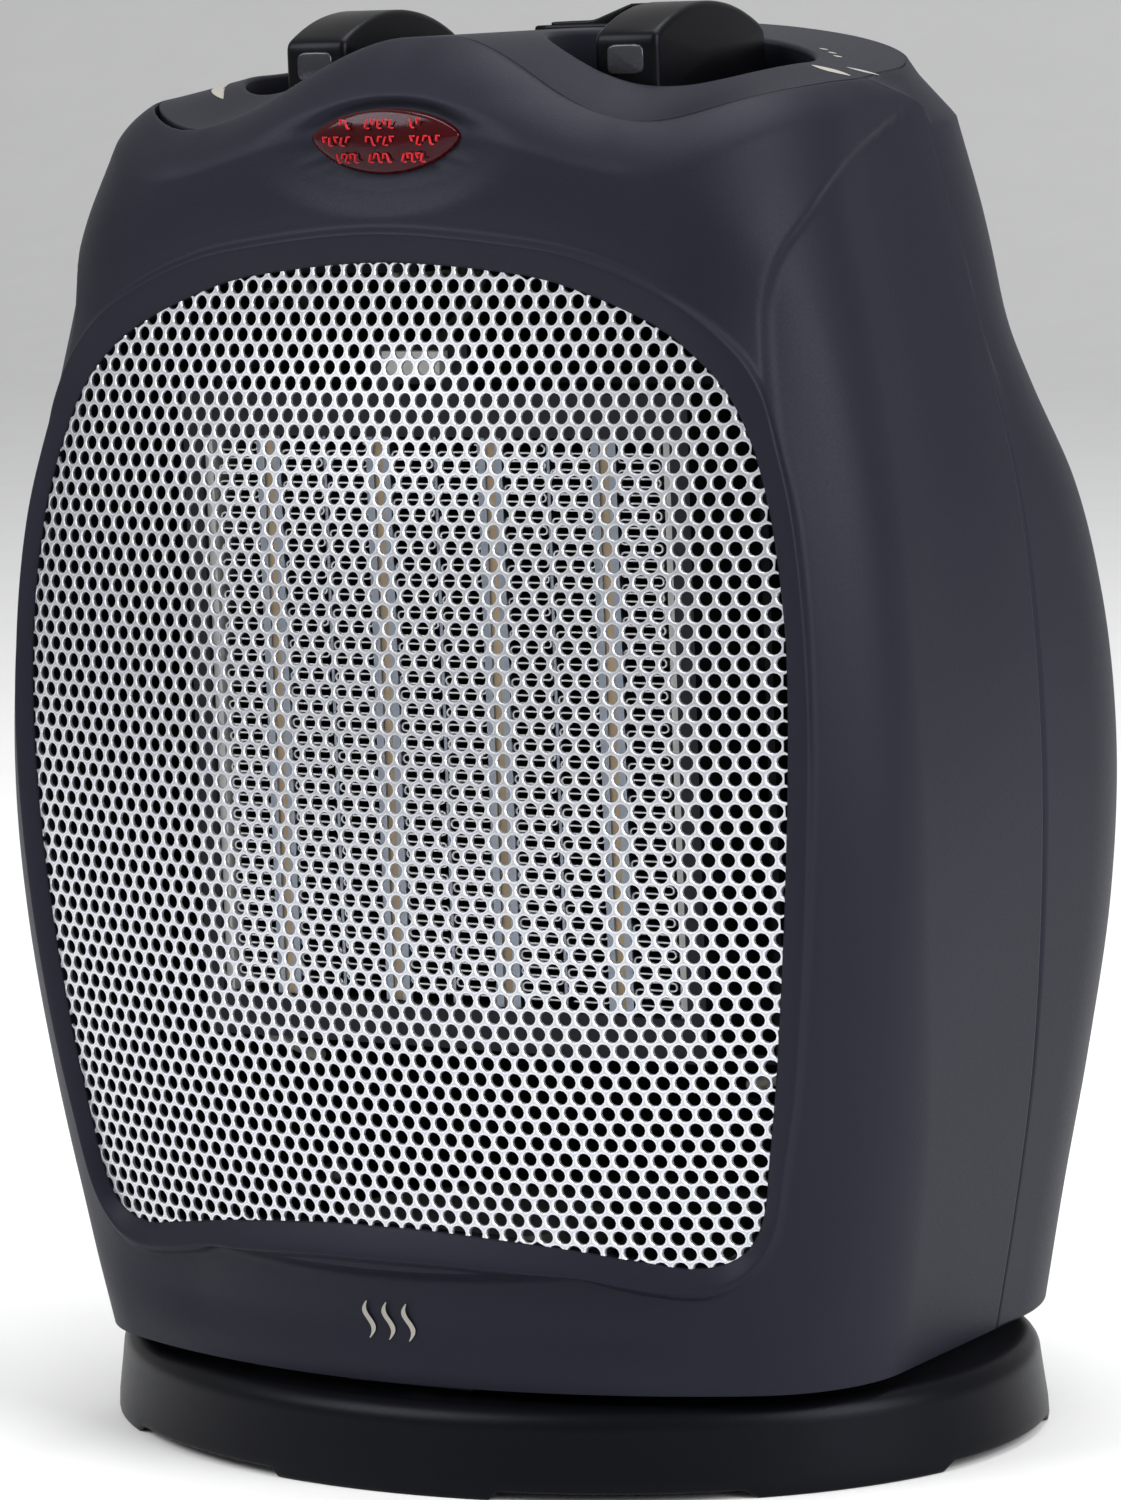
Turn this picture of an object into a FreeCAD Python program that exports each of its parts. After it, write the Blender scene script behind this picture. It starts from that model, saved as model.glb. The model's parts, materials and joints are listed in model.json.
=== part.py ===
import FreeCAD, Part
import math
import os
import Sketcher

# Compact oscillating ceramic fan heater.  Millimetres, +Z up, front towards -Y.
# The origin is the middle of the base's underside, on the swivel axis.

os.makedirs("parts", exist_ok=True)
doc = FreeCAD.newDocument("ceramic_heater")
sheet = doc.addObject("Spreadsheet::Sheet", "dims")

DIMENSIONS = {
    # base
    "base_half_width": 92.0, "base_half_depth": 72.4, "base_shift": -3.0, "base_top": 16.5, "base_wall": 2.4,
    "base_edge_round": 4.5, "foot_height": 1.6, "plate_floor": 2.2, "plate_thick": 2.0,
    "base_screw_x": 52.0, "base_screw_y": 36.0, "pad_radius": 14.0, "foot_inset": 3.2, "foot_width": 6.5,
    # swivel
    "post_radius": 8.0, "post_bore": 5.0, "flange_radius": 20.0, "flange_thick": 2.5,
    "shoulder_radius": 12.0, "shoulder_top": 24.5, "washer_thick": 1.5, "post_top": 33.0,
    "chassis_thick": 2.5, "retainer_radius": 11.0, "retainer_thick": 2.0, "running_gap": 0.06,
    "flange_screw_circle": 16.0,
    # oscillation crank
    "crank_offset": 38.0, "crank_throw": 20.0, "crank_pin_radius": 2.0, "crank_thick": 2.5,
    "track_half_gap": 3.9, "track_width": 26.0, "track_length": 36.0, "track_centre": 44.0,
    "swing_motor_radius": 25.0, "swing_motor_length": 15.0,
    # housing
    "shell_wall": 2.6, "parting_y": 10.0, "crown_height": 257.4, "crown_fall": 0.0021,
    "valley_depth": 11.8, "valley_start": 4.0, "valley_run": 38.0, "valley_ease": 10.5,
    "side_start": 44.0, "side_run": 32.0, "fade_start": -4.0, "fade_run": 46.0, "rear_round": 45.0,
    "rear_arc": 160.0, "cover_wall": 2.4, "mesh_thick": 0.8, "mesh_setback": 3.0,
    "gland_height": 38.0, "boss_x": 69.0, "boss_low": 33.6, "boss_high": 208.0,
    # controls
    "knob_x": 32.7, "knob_y": -5.0, "well_radius": 24.0, "well_floor": 242.0, "well_wall": 1.4,
    "knob_disc_radius": 22.6, "blade_length": 41.0, "blade_thick": 13.0, "blade_top": 262.0,
    "blade_end": 256.5, "spindle_radius": 3.0, "rocker_y": 24.0, "rocker_length": 23.0,
    "rocker_width": 11.4, "rocker_top": 258.0, "rocker_pivot": 256.5, "rocker_tilt": 10.0,
    "lens_height": 239.5,
    # heating element
    "element_width": 94.0, "element_low": 83.0, "element_high": 186.0, "element_front": -42.5,
    "element_depth": 15.0, "bar_pitch": 23.47, "bar_width": 5.0, "fin_width": 8.6,
    # fan
    "fan_height": 134.0, "fan_radius": 50.0, "hub_radius": 17.0, "fan_back": 14.0,
    "fan_depth": 17.0, "shroud_radius": 53.0, "shaft_radius": 2.5, "rotor_radius": 12.0,
    "stator_width": 60.0, "stator_height": 52.0, "stator_thick": 18.0, "stator_front": 34.0,
}

OUTLET_MIDDLE = 130.0          # height the outlet's outline grows away from
GRILLE_SLOT = (3.2, 4.6)       # slot width and pitch of the rear air inlet
GRILLE_LOW = 80.0
GRILLE_HIGH = 168.0
GRILLE_HALF = 46.0

# Plan section of the housing at each height: height, half width, crown of the front arc,
# radius of the front arc, front corner radius, crown of the rear arc.
STATION_KEYS = ("height", "half", "front", "arc", "corner", "rear")
STATIONS = (
    (17.5, 81.5, -68.3, 150.0, 28.0, 71.8),
    (40.0, 86.0, -73.0, 155.0, 33.0, 73.5),
    (65.0, 90.2, -75.8, 168.0, 33.0, 78.2),
    (95.0, 93.0, -77.0, 192.0, 30.0, 85.3),
    (125.0, 94.0, -76.2, 221.0, 29.0, 87.3),
    (150.0, 93.0, -73.7, 254.0, 29.0, 84.3),
    (172.0, 90.6, -70.3, 290.0, 30.0, 77.4),
    (190.0, 86.9, -66.3, 330.0, 31.0, 67.4),
    (205.0, 83.4, -62.9, 370.0, 31.0, 63.0),
    (225.0, 78.2, -59.4, 350.0, 30.0, 61.6),
    (242.0, 73.5, -56.5, 300.0, 35.0, 60.0),
    (250.0, 69.0, -51.5, 250.0, 45.0, 57.0),
    (258.0, 63.0, -42.0, 220.0, 45.0, 52.0),
)


def fill_sheet():
    """One row per driving dimension: name in column A, value with its alias in column B."""
    row = 1
    entries = dict(DIMENSIONS)
    for index, station in enumerate(STATIONS):
        for key, value in zip(STATION_KEYS, station):
            entries["station_%s_%s" % (chr(97 + index), key)] = value
    for alias, value in entries.items():
        sheet.set("A%d" % row, alias)
        sheet.set("B%d" % row, str(value))
        sheet.setAlias("B%d" % row, alias)
        row += 1
    doc.recompute()


fill_sheet()
X = FreeCAD.Vector(1, 0, 0)
Y = FreeCAD.Vector(0, 1, 0)
Z = FreeCAD.Vector(0, 0, 1)
vector = FreeCAD.Vector
nodes = []


def dim(alias):
    """Value of a driving dimension."""
    return float(sheet.get(alias))


def bind(thing, path, value):
    """Give a property a number, or an expression on the sheet when value is text."""
    if isinstance(value, str):
        thing.setExpression(path, value)
        return
    thing.setExpression(path, repr(float(value)))


def keep(thing, name):
    """Register an object of the document as a node that is exported."""
    thing.Label = name
    nodes.append(thing)
    return thing


# ---------------------------------------------------------------- PartDesign helpers

def new_body(name):
    return doc.addObject("PartDesign::Body", name)


def new_sketch(body, name, role, shift):
    """Sketch on one of the body's own origin planes, moved by shift in the plane's axes."""
    sketch = body.newObject("Sketcher::SketchObject", name)
    plane = [item for item in body.Origin.OriginFeatures if item.Role == role][0]
    sketch.AttachmentSupport = [(plane, "")]
    sketch.MapMode = "FlatFace"
    for axis, value in zip("xyz", shift):
        bind(sketch, "AttachmentOffset.Base." + axis, value)
    return sketch


def draw_rectangle(sketch, width, height):
    """Rectangle centred on the sketch's own origin; width and height are sheet aliases."""
    half_w = 5.0
    half_h = 4.0
    corners = [vector(-half_w, -half_h, 0), vector(half_w, -half_h, 0),
               vector(half_w, half_h, 0), vector(-half_w, half_h, 0)]
    for index in range(4):
        sketch.addGeometry(Part.LineSegment(corners[index], corners[(index + 1) % 4]), False)
    for index in range(4):
        sketch.addConstraint(Sketcher.Constraint("Coincident", index, 2, (index + 1) % 4, 1))
    for index, kind in enumerate(("Horizontal", "Vertical", "Horizontal", "Vertical")):
        sketch.addConstraint(Sketcher.Constraint(kind, index))
    sketch.addConstraint(Sketcher.Constraint("Symmetric", 0, 1, 1, 2, -1, 1))
    for name, edge, value in (("width", 0, width), ("height", 1, height)):
        number = sketch.addConstraint(Sketcher.Constraint("Distance", edge, 8.0))
        sketch.renameConstraint(number, name)
        bind(sketch, "Constraints." + name, value)


def draw_circle(sketch, radius):
    """Circle on the sketch's own origin."""
    sketch.addGeometry(Part.Circle(vector(0, 0, 0), Z, 4.0), False)
    sketch.addConstraint(Sketcher.Constraint("Coincident", 0, 3, -1, 1))
    number = sketch.addConstraint(Sketcher.Constraint("Radius", 0, 4.0))
    sketch.renameConstraint(number, "radius")
    bind(sketch, "Constraints.radius", radius)


def add_feature(body, kind, name, sketch, length, backwards=False, both=False):
    """Pad or Pocket of one sketch."""
    feature = body.newObject("PartDesign::" + kind, name)
    feature.Profile = sketch
    bind(feature, "Length", length)
    feature.Reversed = backwards
    feature.Midplane = both
    body.Tip = feature
    doc.recompute()
    return feature


def layered_body(name, layers, role="XY_Plane"):
    """Body made of layers: (kind, shape, sizes, shift, length), in the plane's own axes.

    kind is Pad or Pocket, shape is disc (radius) or block (width, height), shift places
    the sketch, and the layer grows along the plane's normal from there.
    """
    body = new_body(name)
    for index, (kind, shape, sizes, shift, length) in enumerate(layers):
        sketch = new_sketch(body, "%s_sketch_%d" % (name, index), role, shift)
        if shape == "disc":
            draw_circle(sketch, sizes)
        else:
            draw_rectangle(sketch, sizes[0], sizes[1])
        before = body.Shape.Volume if index else 0.0
        add_feature(body, kind, "%s_%s_%d" % (name, kind.lower(), index), sketch, length,
                    backwards=(kind == "Pocket"))
        grew = body.Shape.Volume > before
        if grew != (kind == "Pad"):
            raise RuntimeError("%s: layer %d points the wrong way" % (name, index))
    return keep(body, name)


# ---------------------------------------------------------------- Part helpers

def part_object(kind, name, sizes, place=(0, 0, 0), turn=None):
    """Part primitive with its sizes and position bound to the sheet."""
    thing = doc.addObject("Part::" + kind, name)
    if turn is not None:
        thing.Placement = FreeCAD.Placement(vector(0, 0, 0), turn)
    for key, value in sizes.items():
        bind(thing, key, value)
    for axis, value in zip("xyz", place):
        bind(thing, "Placement.Base." + axis, value)
    return thing


def block(name, size, place):
    """Box given by its size and its lowest corner."""
    return part_object("Box", name, {"Length": size[0], "Width": size[1], "Height": size[2]}, place)


def rod(name, radius, length, place, turn=None):
    return part_object("Cylinder", name, {"Radius": radius, "Height": length}, place, turn)


def cut(name, base, *tools):
    """Base with each tool removed in turn."""
    result = base
    for index, tool in enumerate(tools):
        step = doc.addObject("Part::Cut", "%s_cut_%d" % (name, index))
        step.Base = result
        step.Tool = tool
        result = step
    return keep(result, name)


def group(name, things):
    """Several separate solids in one node."""
    compound = doc.addObject("Part::Compound", name)
    compound.Links = things
    return keep(compound, name)


def feature(name, shape):
    """Free-form solid worked out from the sheet's values."""
    thing = doc.addObject("Part::Feature", name)
    thing.Shape = shape
    return keep(thing, name)


ALONG_Y = FreeCAD.Rotation(X, -90)      # turns +Z to +Y
ALONG_X = FreeCAD.Rotation(Y, 90)       # turns +Z to +X


# ---------------------------------------------------------------- housing form

def station_value(index, key):
    return dim("station_%s_%s" % (chr(97 + index), key))


def plan_wire(half, front, arc, corner, rear, height, inset):
    """Closed plan section: front arc, two corners, two sides, two rear corners, rear arc.

    Each corner arc is tangent to its side and to the front or rear arc, and the whole
    section can be inset parallel to itself.
    """
    half -= inset
    front += inset
    rear -= inset
    arc -= inset
    corner -= inset
    rear_round = dim("rear_round") - inset
    rear_arc = dim("rear_arc") - inset
    front_centre = front + arc
    corner_y = front_centre - math.sqrt((arc - corner) ** 2 - (half - corner) ** 2)
    rear_centre = rear - rear_arc
    rear_y = rear_centre + math.sqrt((rear_arc - rear_round) ** 2 - (half - rear_round) ** 2)
    lean = math.atan2(half - corner, front_centre - corner_y)
    rear_lean = math.atan2(half - rear_round, rear_y - rear_centre)

    def point(x, y):
        return vector(x, y, height)

    def front_point(angle):
        return point(arc * math.sin(angle), front_centre - arc * math.cos(angle))

    def corner_point(side, angle):
        return point(side * (half - corner + corner * math.sin(angle)),
                     corner_y - corner * math.cos(angle))

    def rear_corner_point(side, angle):
        return point(side * (half - rear_round + rear_round * math.sin(angle)),
                     rear_y + rear_round * math.cos(angle))

    def rear_point(angle):
        return point(rear_arc * math.sin(angle), rear_centre + rear_arc * math.cos(angle))

    quarter = math.pi / 2
    middle = (lean + quarter) / 2
    rear_middle = (rear_lean + quarter) / 2
    edges = [
        Part.Arc(front_point(-lean), front_point(0), front_point(lean)).toShape(),
        Part.Arc(front_point(lean), corner_point(1, middle), point(half, corner_y)).toShape(),
        Part.LineSegment(point(half, corner_y), point(half, rear_y)).toShape(),
        Part.Arc(point(half, rear_y), rear_corner_point(1, rear_middle),
                 rear_point(rear_lean)).toShape(),
        Part.Arc(rear_point(rear_lean), rear_point(0), rear_point(-rear_lean)).toShape(),
        Part.Arc(rear_point(-rear_lean), rear_corner_point(-1, rear_middle),
                 point(-half, rear_y)).toShape(),
        Part.LineSegment(point(-half, rear_y), point(-half, corner_y)).toShape(),
        Part.Arc(point(-half, corner_y), corner_point(-1, middle), front_point(-lean)).toShape(),
    ]
    return Part.Wire(edges)


def station_wire(index, inset, height=None):
    values = [station_value(index, key) for key in STATION_KEYS]
    level = values[0] if height is None else height
    return plan_wire(*values[1:], level, inset)


def housing_loft(inset, overrun):
    """Solid through all stations, inset by a wall, run past both ends by overrun."""
    wires = [station_wire(index, inset) for index in range(len(STATIONS))]
    if overrun:
        bottom = station_value(0, "height") - overrun
        wires.insert(0, station_wire(0, inset, bottom))
    return Part.makeLoft(wires, True, False)


def smooth(value):
    """Smoothstep of a value held between 0 and 1."""
    held = min(max(value, 0.0), 1.0)
    return held * held * (3.0 - 2.0 * held)


def crown_height_at(x, y):
    """Top surface: a gentle crown across, with a valley either side of the middle hood.

    The valleys start in front of the wells, deepen towards the front, and ease off again
    towards the sides.
    """
    across = abs(x)
    valley = dim("valley_depth") * smooth((across - dim("valley_start")) / dim("valley_run"))
    valley -= dim("valley_ease") * smooth((across - dim("side_start")) / dim("side_run"))
    fade = smooth((dim("fade_start") - y) / dim("fade_run"))
    return dim("crown_height") - dim("crown_fall") * x * x - valley * fade


def under_crown(drop):
    """Everything below the top surface lowered by drop."""
    reach = 104.0
    steps = 26
    rows = []
    for i in range(steps + 1):
        x = -reach + 2 * reach * i / steps
        rows.append([vector(x, -reach + 2 * reach * j / steps,
                            crown_height_at(x, -reach + 2 * reach * j / steps) - drop)
                     for j in range(steps + 1)])
    surface = Part.BSplineSurface()
    surface.interpolate(rows)
    return surface.toShape().extrude(vector(0, 0, -300))


def mesh_outline(grow):
    """Outline of the air outlet in XZ: arched top, bulging sides, raised lower edge."""
    right = [(27, 216), (54, 206.8), (68.3, 193.5), (76.3, 170.3), (78.8, 138), (77.3, 105),
             (73.5, 72), (69.6, 50.5), (57.9, 41.8), (32, 45.6)]
    left = [(-x, z) for x, z in reversed(right)]
    placed = []
    for x, z in [(0, 218.2)] + right + [(0, 47.5)] + left:
        size = math.hypot(x, z - OUTLET_MIDDLE)
        factor = (size + grow) / size
        placed.append(vector(x * factor, -120, OUTLET_MIDDLE + (z - OUTLET_MIDDLE) * factor))
    curve = Part.BSplineCurve()
    curve.interpolate(placed, PeriodicFlag=True)
    return Part.Face(Part.Wire(curve.toShape()))


def mesh_prism(grow):
    return mesh_outline(grow).extrude(vector(0, 100, 0))


def ellipse_prism(half_width, half_depth, low, high):
    ellipse = Part.Ellipse(vector(0, dim("base_shift"), low), half_width, half_depth)
    face = Part.Face(Part.Wire(ellipse.toShape()))
    return face.extrude(vector(0, 0, high - low))


def cylinder_shape(radius, length, place, direction=None):
    return Part.makeCylinder(radius, length, vector(*place), direction or Z)


def box_shape(low, high):
    size = [high[i] - low[i] for i in range(3)]
    return Part.makeBox(size[0], size[1], size[2], vector(*low))


# ---------------------------------------------------------------- base

def screw_places():
    x = dim("base_screw_x")
    y = dim("base_screw_y")
    return [(x, y), (-x, y), (x, -y), (-x, -y)]


def make_base():
    half_w = dim("base_half_width")
    half_d = dim("base_half_depth")
    wall = dim("base_wall")
    low = dim("foot_height")
    top = dim("base_top")
    outer = ellipse_prism(half_w, half_d, low, top)
    rim = [edge for edge in outer.Edges if abs(edge.BoundBox.ZMin - top) < 0.01]
    outer = outer.makeFillet(dim("base_edge_round"), rim)
    shell = outer.cut(ellipse_prism(half_w - wall, half_d - wall, low - 1, top - wall))
    plate_top = dim("plate_floor") + dim("plate_thick")
    for x, y in screw_places():
        shell = shell.fuse(cylinder_shape(4.0, top - plate_top - 1, (x, y, plate_top)))
        shell = shell.cut(cylinder_shape(1.6, 9.0, (x, y, plate_top - 1)))
    shell = shell.cut(cylinder_shape(dim("post_bore"), 20, (0, 0, top - 10)))
    for x, y in flange_screws():
        shell = shell.cut(cylinder_shape(1.35, 20, (x, y, top - 10)))
    feature("base_shell", shell.removeSplitter())

    plate = ellipse_prism(half_w - wall - 0.3, half_d - wall - 0.3, dim("plate_floor"), plate_top)
    for x, y in screw_places():
        plate = plate.cut(cylinder_shape(1.6, 10, (x, y, 0)))
    plate = plate.fuse(cylinder_shape(dim("pad_radius"), plate_top, (0, 0, 0)))
    feature("base_plate", plate.removeSplitter())

    screws = []
    for index, (x, y) in enumerate(screw_places()):
        head = cylinder_shape(3.2, 1.2, (x, y, dim("plate_floor") - 1.2))
        shank = cylinder_shape(1.5, 9.0, (x, y, dim("plate_floor")))
        screws.append(head.fuse(shank))
    feature("base_screws", Part.makeCompound(screws))

    edge = dim("foot_inset")
    inner = edge + dim("foot_width")
    ring = ellipse_prism(half_w - edge, half_d - edge, 0, low)
    ring = ring.cut(ellipse_prism(half_w - inner, half_d - inner, -1, low + 1))
    pads = []
    for turn in (25, 90, 155, 205, 270, 335):
        across = vector(math.cos(math.radians(turn)), math.sin(math.radians(turn)), 0)
        sector = box_shape((30, -17, -1), (100, 17, low + 1))
        sector.rotate(vector(0, 0, 0), Z, math.degrees(math.atan2(across.y, across.x)))
        pads.extend(ring.common(sector).Solids)
    feature("rubber_feet", Part.makeCompound(pads))


def flange_screws():
    circle = dim("flange_screw_circle")
    turns = [math.radians(45 + 90 * index) for index in range(4)]
    return [(circle * math.cos(turn), circle * math.sin(turn)) for turn in turns]


def make_swivel():
    layered_body("swivel_post", [
        ("Pad", "disc", "dims.flange_radius", (0, 0, "dims.base_top"), "dims.flange_thick"),
        ("Pad", "disc", "dims.shoulder_radius", (0, 0, "dims.base_top + dims.flange_thick"),
         "dims.shoulder_top - dims.base_top - dims.flange_thick"),
        ("Pad", "disc", "dims.post_radius", (0, 0, "dims.shoulder_top"),
         "dims.post_top - dims.shoulder_top"),
        ("Pocket", "disc", "dims.post_bore", (0, 0, "dims.base_top"),
         "dims.post_top - dims.base_top"),
    ] + [("Pocket", "disc", 1.6, (x, y, "dims.base_top"), "dims.flange_thick")
         for x, y in flange_screws()])
    screws = []
    for x, y in flange_screws():
        top = dim("base_top") + dim("flange_thick")
        screws.append(cylinder_shape(2.6, 1.6, (x, y, top)).fuse(
            cylinder_shape(1.3, 6.5, (x, y, top - 6.5))))
    feature("flange_screws", Part.makeCompound(screws))
    washer = rod("washer_disc", "dims.shoulder_radius + 1", "dims.washer_thick",
                 (0, 0, "dims.shoulder_top"))
    bore = rod("washer_bore", "dims.post_radius + 0.3", "dims.washer_thick + 2",
               (0, 0, "dims.shoulder_top - 1"))
    cut("thrust_washer", washer, bore)
    seat = "dims.shoulder_top + dims.washer_thick + dims.chassis_thick + 0.3"
    ring = rod("retainer_disc", "dims.retainer_radius", "dims.retainer_thick", (0, 0, seat))
    hole = rod("retainer_bore", "dims.post_radius + 0.01", 10, (0, 0, seat + " - 1"))
    cut("swivel_retainer", ring, hole)


def chassis_floor():
    return dim("shoulder_top") + dim("washer_thick")


def make_track():
    """Slotted plate on the base in which the crank pin runs."""
    width = "dims.track_width"
    length = "dims.track_length"
    centre = "-dims.track_centre"
    layered_body("crank_track", [
        ("Pad", "block", (width, length), (0, centre, "dims.base_top"), 1.6),
        ("Pad", "block", ("dims.track_half_gap * 2 + 5", length), (0, centre, "dims.base_top"), 5.0),
        ("Pocket", "block", ("dims.track_half_gap * 2", "dims.track_length + 2"),
         (0, centre, "dims.base_top + 1.6"), 5.0),
    ])


def make_crank():
    level = "dims.shoulder_top + dims.washer_thick - dims.crank_thick - 1"
    offset = "-dims.crank_offset"
    layered_body("crank_arm", [
        ("Pad", "disc", 7.0, (0, offset, level), "dims.crank_thick"),
        ("Pad", "block", (8.0, "dims.crank_throw"),
         (0, "-dims.crank_offset - dims.crank_throw / 2", level), "dims.crank_thick"),
        ("Pad", "disc", 4.0, (0, "-dims.crank_offset - dims.crank_throw", level),
         "dims.crank_thick"),
        ("Pad", "disc", "dims.crank_pin_radius",
         (0, "-dims.crank_offset - dims.crank_throw", "dims.base_top + 2.2"), 5.0),
        ("Pocket", "disc", 2.5, (0, offset, level), "dims.crank_thick"),
    ])
    rod("crank_shaft_rod", 2.49, 13.0, (0, offset, level))
    keep(doc.getObject("crank_shaft_rod"), "crank_shaft")


def make_chassis():
    floor = chassis_floor()
    thick = dim("chassis_thick")
    face = Part.Face(station_wire(0, dim("shell_wall") - 1.2, floor))
    plate = face.extrude(vector(0, 0, thick))
    plate = plate.common(housing_loft(dim("shell_wall") + 0.8, 0))
    plate = plate.cut(cylinder_shape(dim("post_radius") + dim("running_gap"), 20, (0, 0, floor - 5)))
    plate = plate.cut(cylinder_shape(2.56, 20, (0, -dim("crank_offset"), floor - 5)))
    feature("chassis_plate", plate)
    top = floor + thick
    motor = cylinder_shape(dim("swing_motor_radius"), dim("swing_motor_length"),
                           (0, -dim("crank_offset"), top))
    motor = motor.cut(cylinder_shape(2.56, 12, (0, -dim("crank_offset"), top - 1)))
    feature("oscillation_motor", motor)
    clips = []
    for side in (-1, 1):
        strap = box_shape((side * 31 - 5, -dim("crank_offset") - 5, top),
                          (side * 31 + 5, -dim("crank_offset") + 5, top + 3))
        body = cylinder_shape(dim("swing_motor_radius") + 0.2, 40, (0, -dim("crank_offset"), top - 5))
        clips.append(strap.cut(body))
    feature("motor_clips", Part.makeCompound(clips))
    block("tip_switch_box", (20, 14, 22), (40, 20, top))
    keep(doc.getObject("tip_switch_box"), "tip_over_switch")


# ---------------------------------------------------------------- housing

def cover_prism(inset):
    """Plan outline of the top cover, standing through the top of the housing."""
    wire = station_wire(len(STATIONS) - 2, inset, 234.0)
    return Part.Face(wire).extrude(vector(0, 0, 40))


def lens_prism(half_width, half_height, low_y, high_y):
    """Eye-shaped prism through the hood, pointed at both ends."""
    top = Part.Arc(vector(-half_width, low_y, 0), vector(0, low_y, half_height),
                   vector(half_width, low_y, 0)).toShape()
    bottom = Part.Arc(vector(half_width, low_y, 0), vector(0, low_y, -half_height),
                      vector(-half_width, low_y, 0)).toShape()
    face = Part.Face(Part.Wire([top, bottom]))
    face.translate(vector(0, 0, dim("lens_height")))
    return face.extrude(vector(0, high_y - low_y, 0))


def rear_slots(low_y, high_y):
    """Upright slots of the air inlet, in three bands, clipped to a rounded field."""
    width, pitch = GRILLE_SLOT
    count = int(2 * GRILLE_HALF / pitch)
    slots = []
    band_count = 3
    band = (GRILLE_HIGH - GRILLE_LOW) / band_count
    for index in range(count):
        x = (index - (count - 1) / 2) * pitch
        for row in range(band_count):
            low = GRILLE_LOW + band * row + 2.0
            slots.append(box_shape((x - width / 2, low_y, low),
                                   (x + width / 2, high_y, low + band - 4.0)))
    return Part.makeCompound(slots)


def make_housing():
    wall = dim("shell_wall")
    outer = housing_loft(0, 0).common(under_crown(0))
    inner = housing_loft(wall, 2.0).common(under_crown(wall))
    shell = outer.cut(inner)
    split = dim("parting_y")
    front_half = box_shape((-120, -120, 0), (120, split, 300))
    rear_half = box_shape((-120, split, 0), (120, 120, 300))
    hole = cover_prism(3.0)

    front = shell.common(front_half).cut(hole)
    front = front.cut(mesh_prism(0))
    front = front.cut(lens_prism(16.0, 6.0, -80, -30))
    inside = housing_loft(1.0, 0)
    boss_end = split + 8.0
    for x, z in boss_places():
        boss = cylinder_shape(4.0, boss_end + 70.0, (x, -70.0, z), Y).common(inside)
        front = front.fuse(boss).cut(cylinder_shape(1.6, 20.0, (x, boss_end - 12.0, z), Y))
    feature("front_shell", front)

    rear = shell.common(rear_half).cut(hole)
    rear = rear.cut(rear_slots(50, 100))
    rear = rear.cut(cylinder_shape(6.0, 40, (0, 55, dim("gland_height")), Y))
    for x, z in boss_places():
        sleeve = cylinder_shape(4.6, 80.0, (x, boss_end + 0.2, z), Y).common(inside)
        rear = rear.fuse(sleeve).cut(cylinder_shape(1.7, 20.0, (x, boss_end - 1.0, z), Y))
        rear = rear.cut(cylinder_shape(3.5, 80.0, (x, boss_end + 5.0, z), Y))
    feature("rear_shell", rear)

    skin = outer.cut(under_crown(dim("cover_wall"))).common(cover_prism(3.15))
    make_cover(skin)
    make_outlet(wall)
    return outer


def make_cover(skin):
    x = dim("knob_x")
    y = dim("knob_y")
    floor = dim("well_floor")
    radius = dim("well_radius")
    wall = dim("well_wall")
    cover = skin
    for side in (-1, 1):
        cup = cylinder_shape(radius + wall, 30, (side * x, y, floor - wall))
        cover = cover.fuse(cup.common(under_crown(0)).common(cover_prism(3.15)))
    for side in (-1, 1):
        cover = cover.cut(cylinder_shape(radius, 40, (side * x, y, floor)))
        cover = cover.cut(cylinder_shape(dim("spindle_radius") + 1.2, 20, (side * x, y, floor - 8)))
    half_length = dim("rocker_length") / 2 - 1.2
    half_width = dim("rocker_width") / 2 - 1.2
    cover = cover.cut(box_shape((-half_length, dim("rocker_y") - half_width, 230),
                                (half_length, dim("rocker_y") + half_width, 270)))
    feature("top_cover", cover)


def make_outlet(wall):
    """Outlet mesh as one curved sheet behind the front shell, with its clamping frame."""
    back = dim("mesh_setback")
    thick = dim("mesh_thick")
    sheet_shape = housing_loft(back, 0).cut(housing_loft(back + thick, 3.0))
    front_half = box_shape((-120, -120, 0), (120, -20, 300))
    feature("outlet_mesh", sheet_shape.common(mesh_prism(3.0)).common(front_half))
    frame = housing_loft(back + thick + 0.1, 0).cut(housing_loft(back + thick + 2.1, 3.0))
    frame = frame.common(mesh_prism(3.2)).common(front_half).cut(mesh_prism(0.5))
    feature("mesh_frame", frame)
    lens = lens_prism(15.6, 5.6, -57.2, -50.3)
    feature("indicator_lens", lens)
    holder = lens_prism(17.5, 7.5, -50.0, -40.0).cut(lens_prism(15.5, 5.5, -51, -42.0))
    feature("lamp_holder", holder)
    rod("lamp_rod", 2.6, 24, (-12, -46.0, dim("lens_height")), ALONG_X)
    keep(doc.getObject("lamp_rod"), "indicator_lamp")


# ---------------------------------------------------------------- heating element

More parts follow.
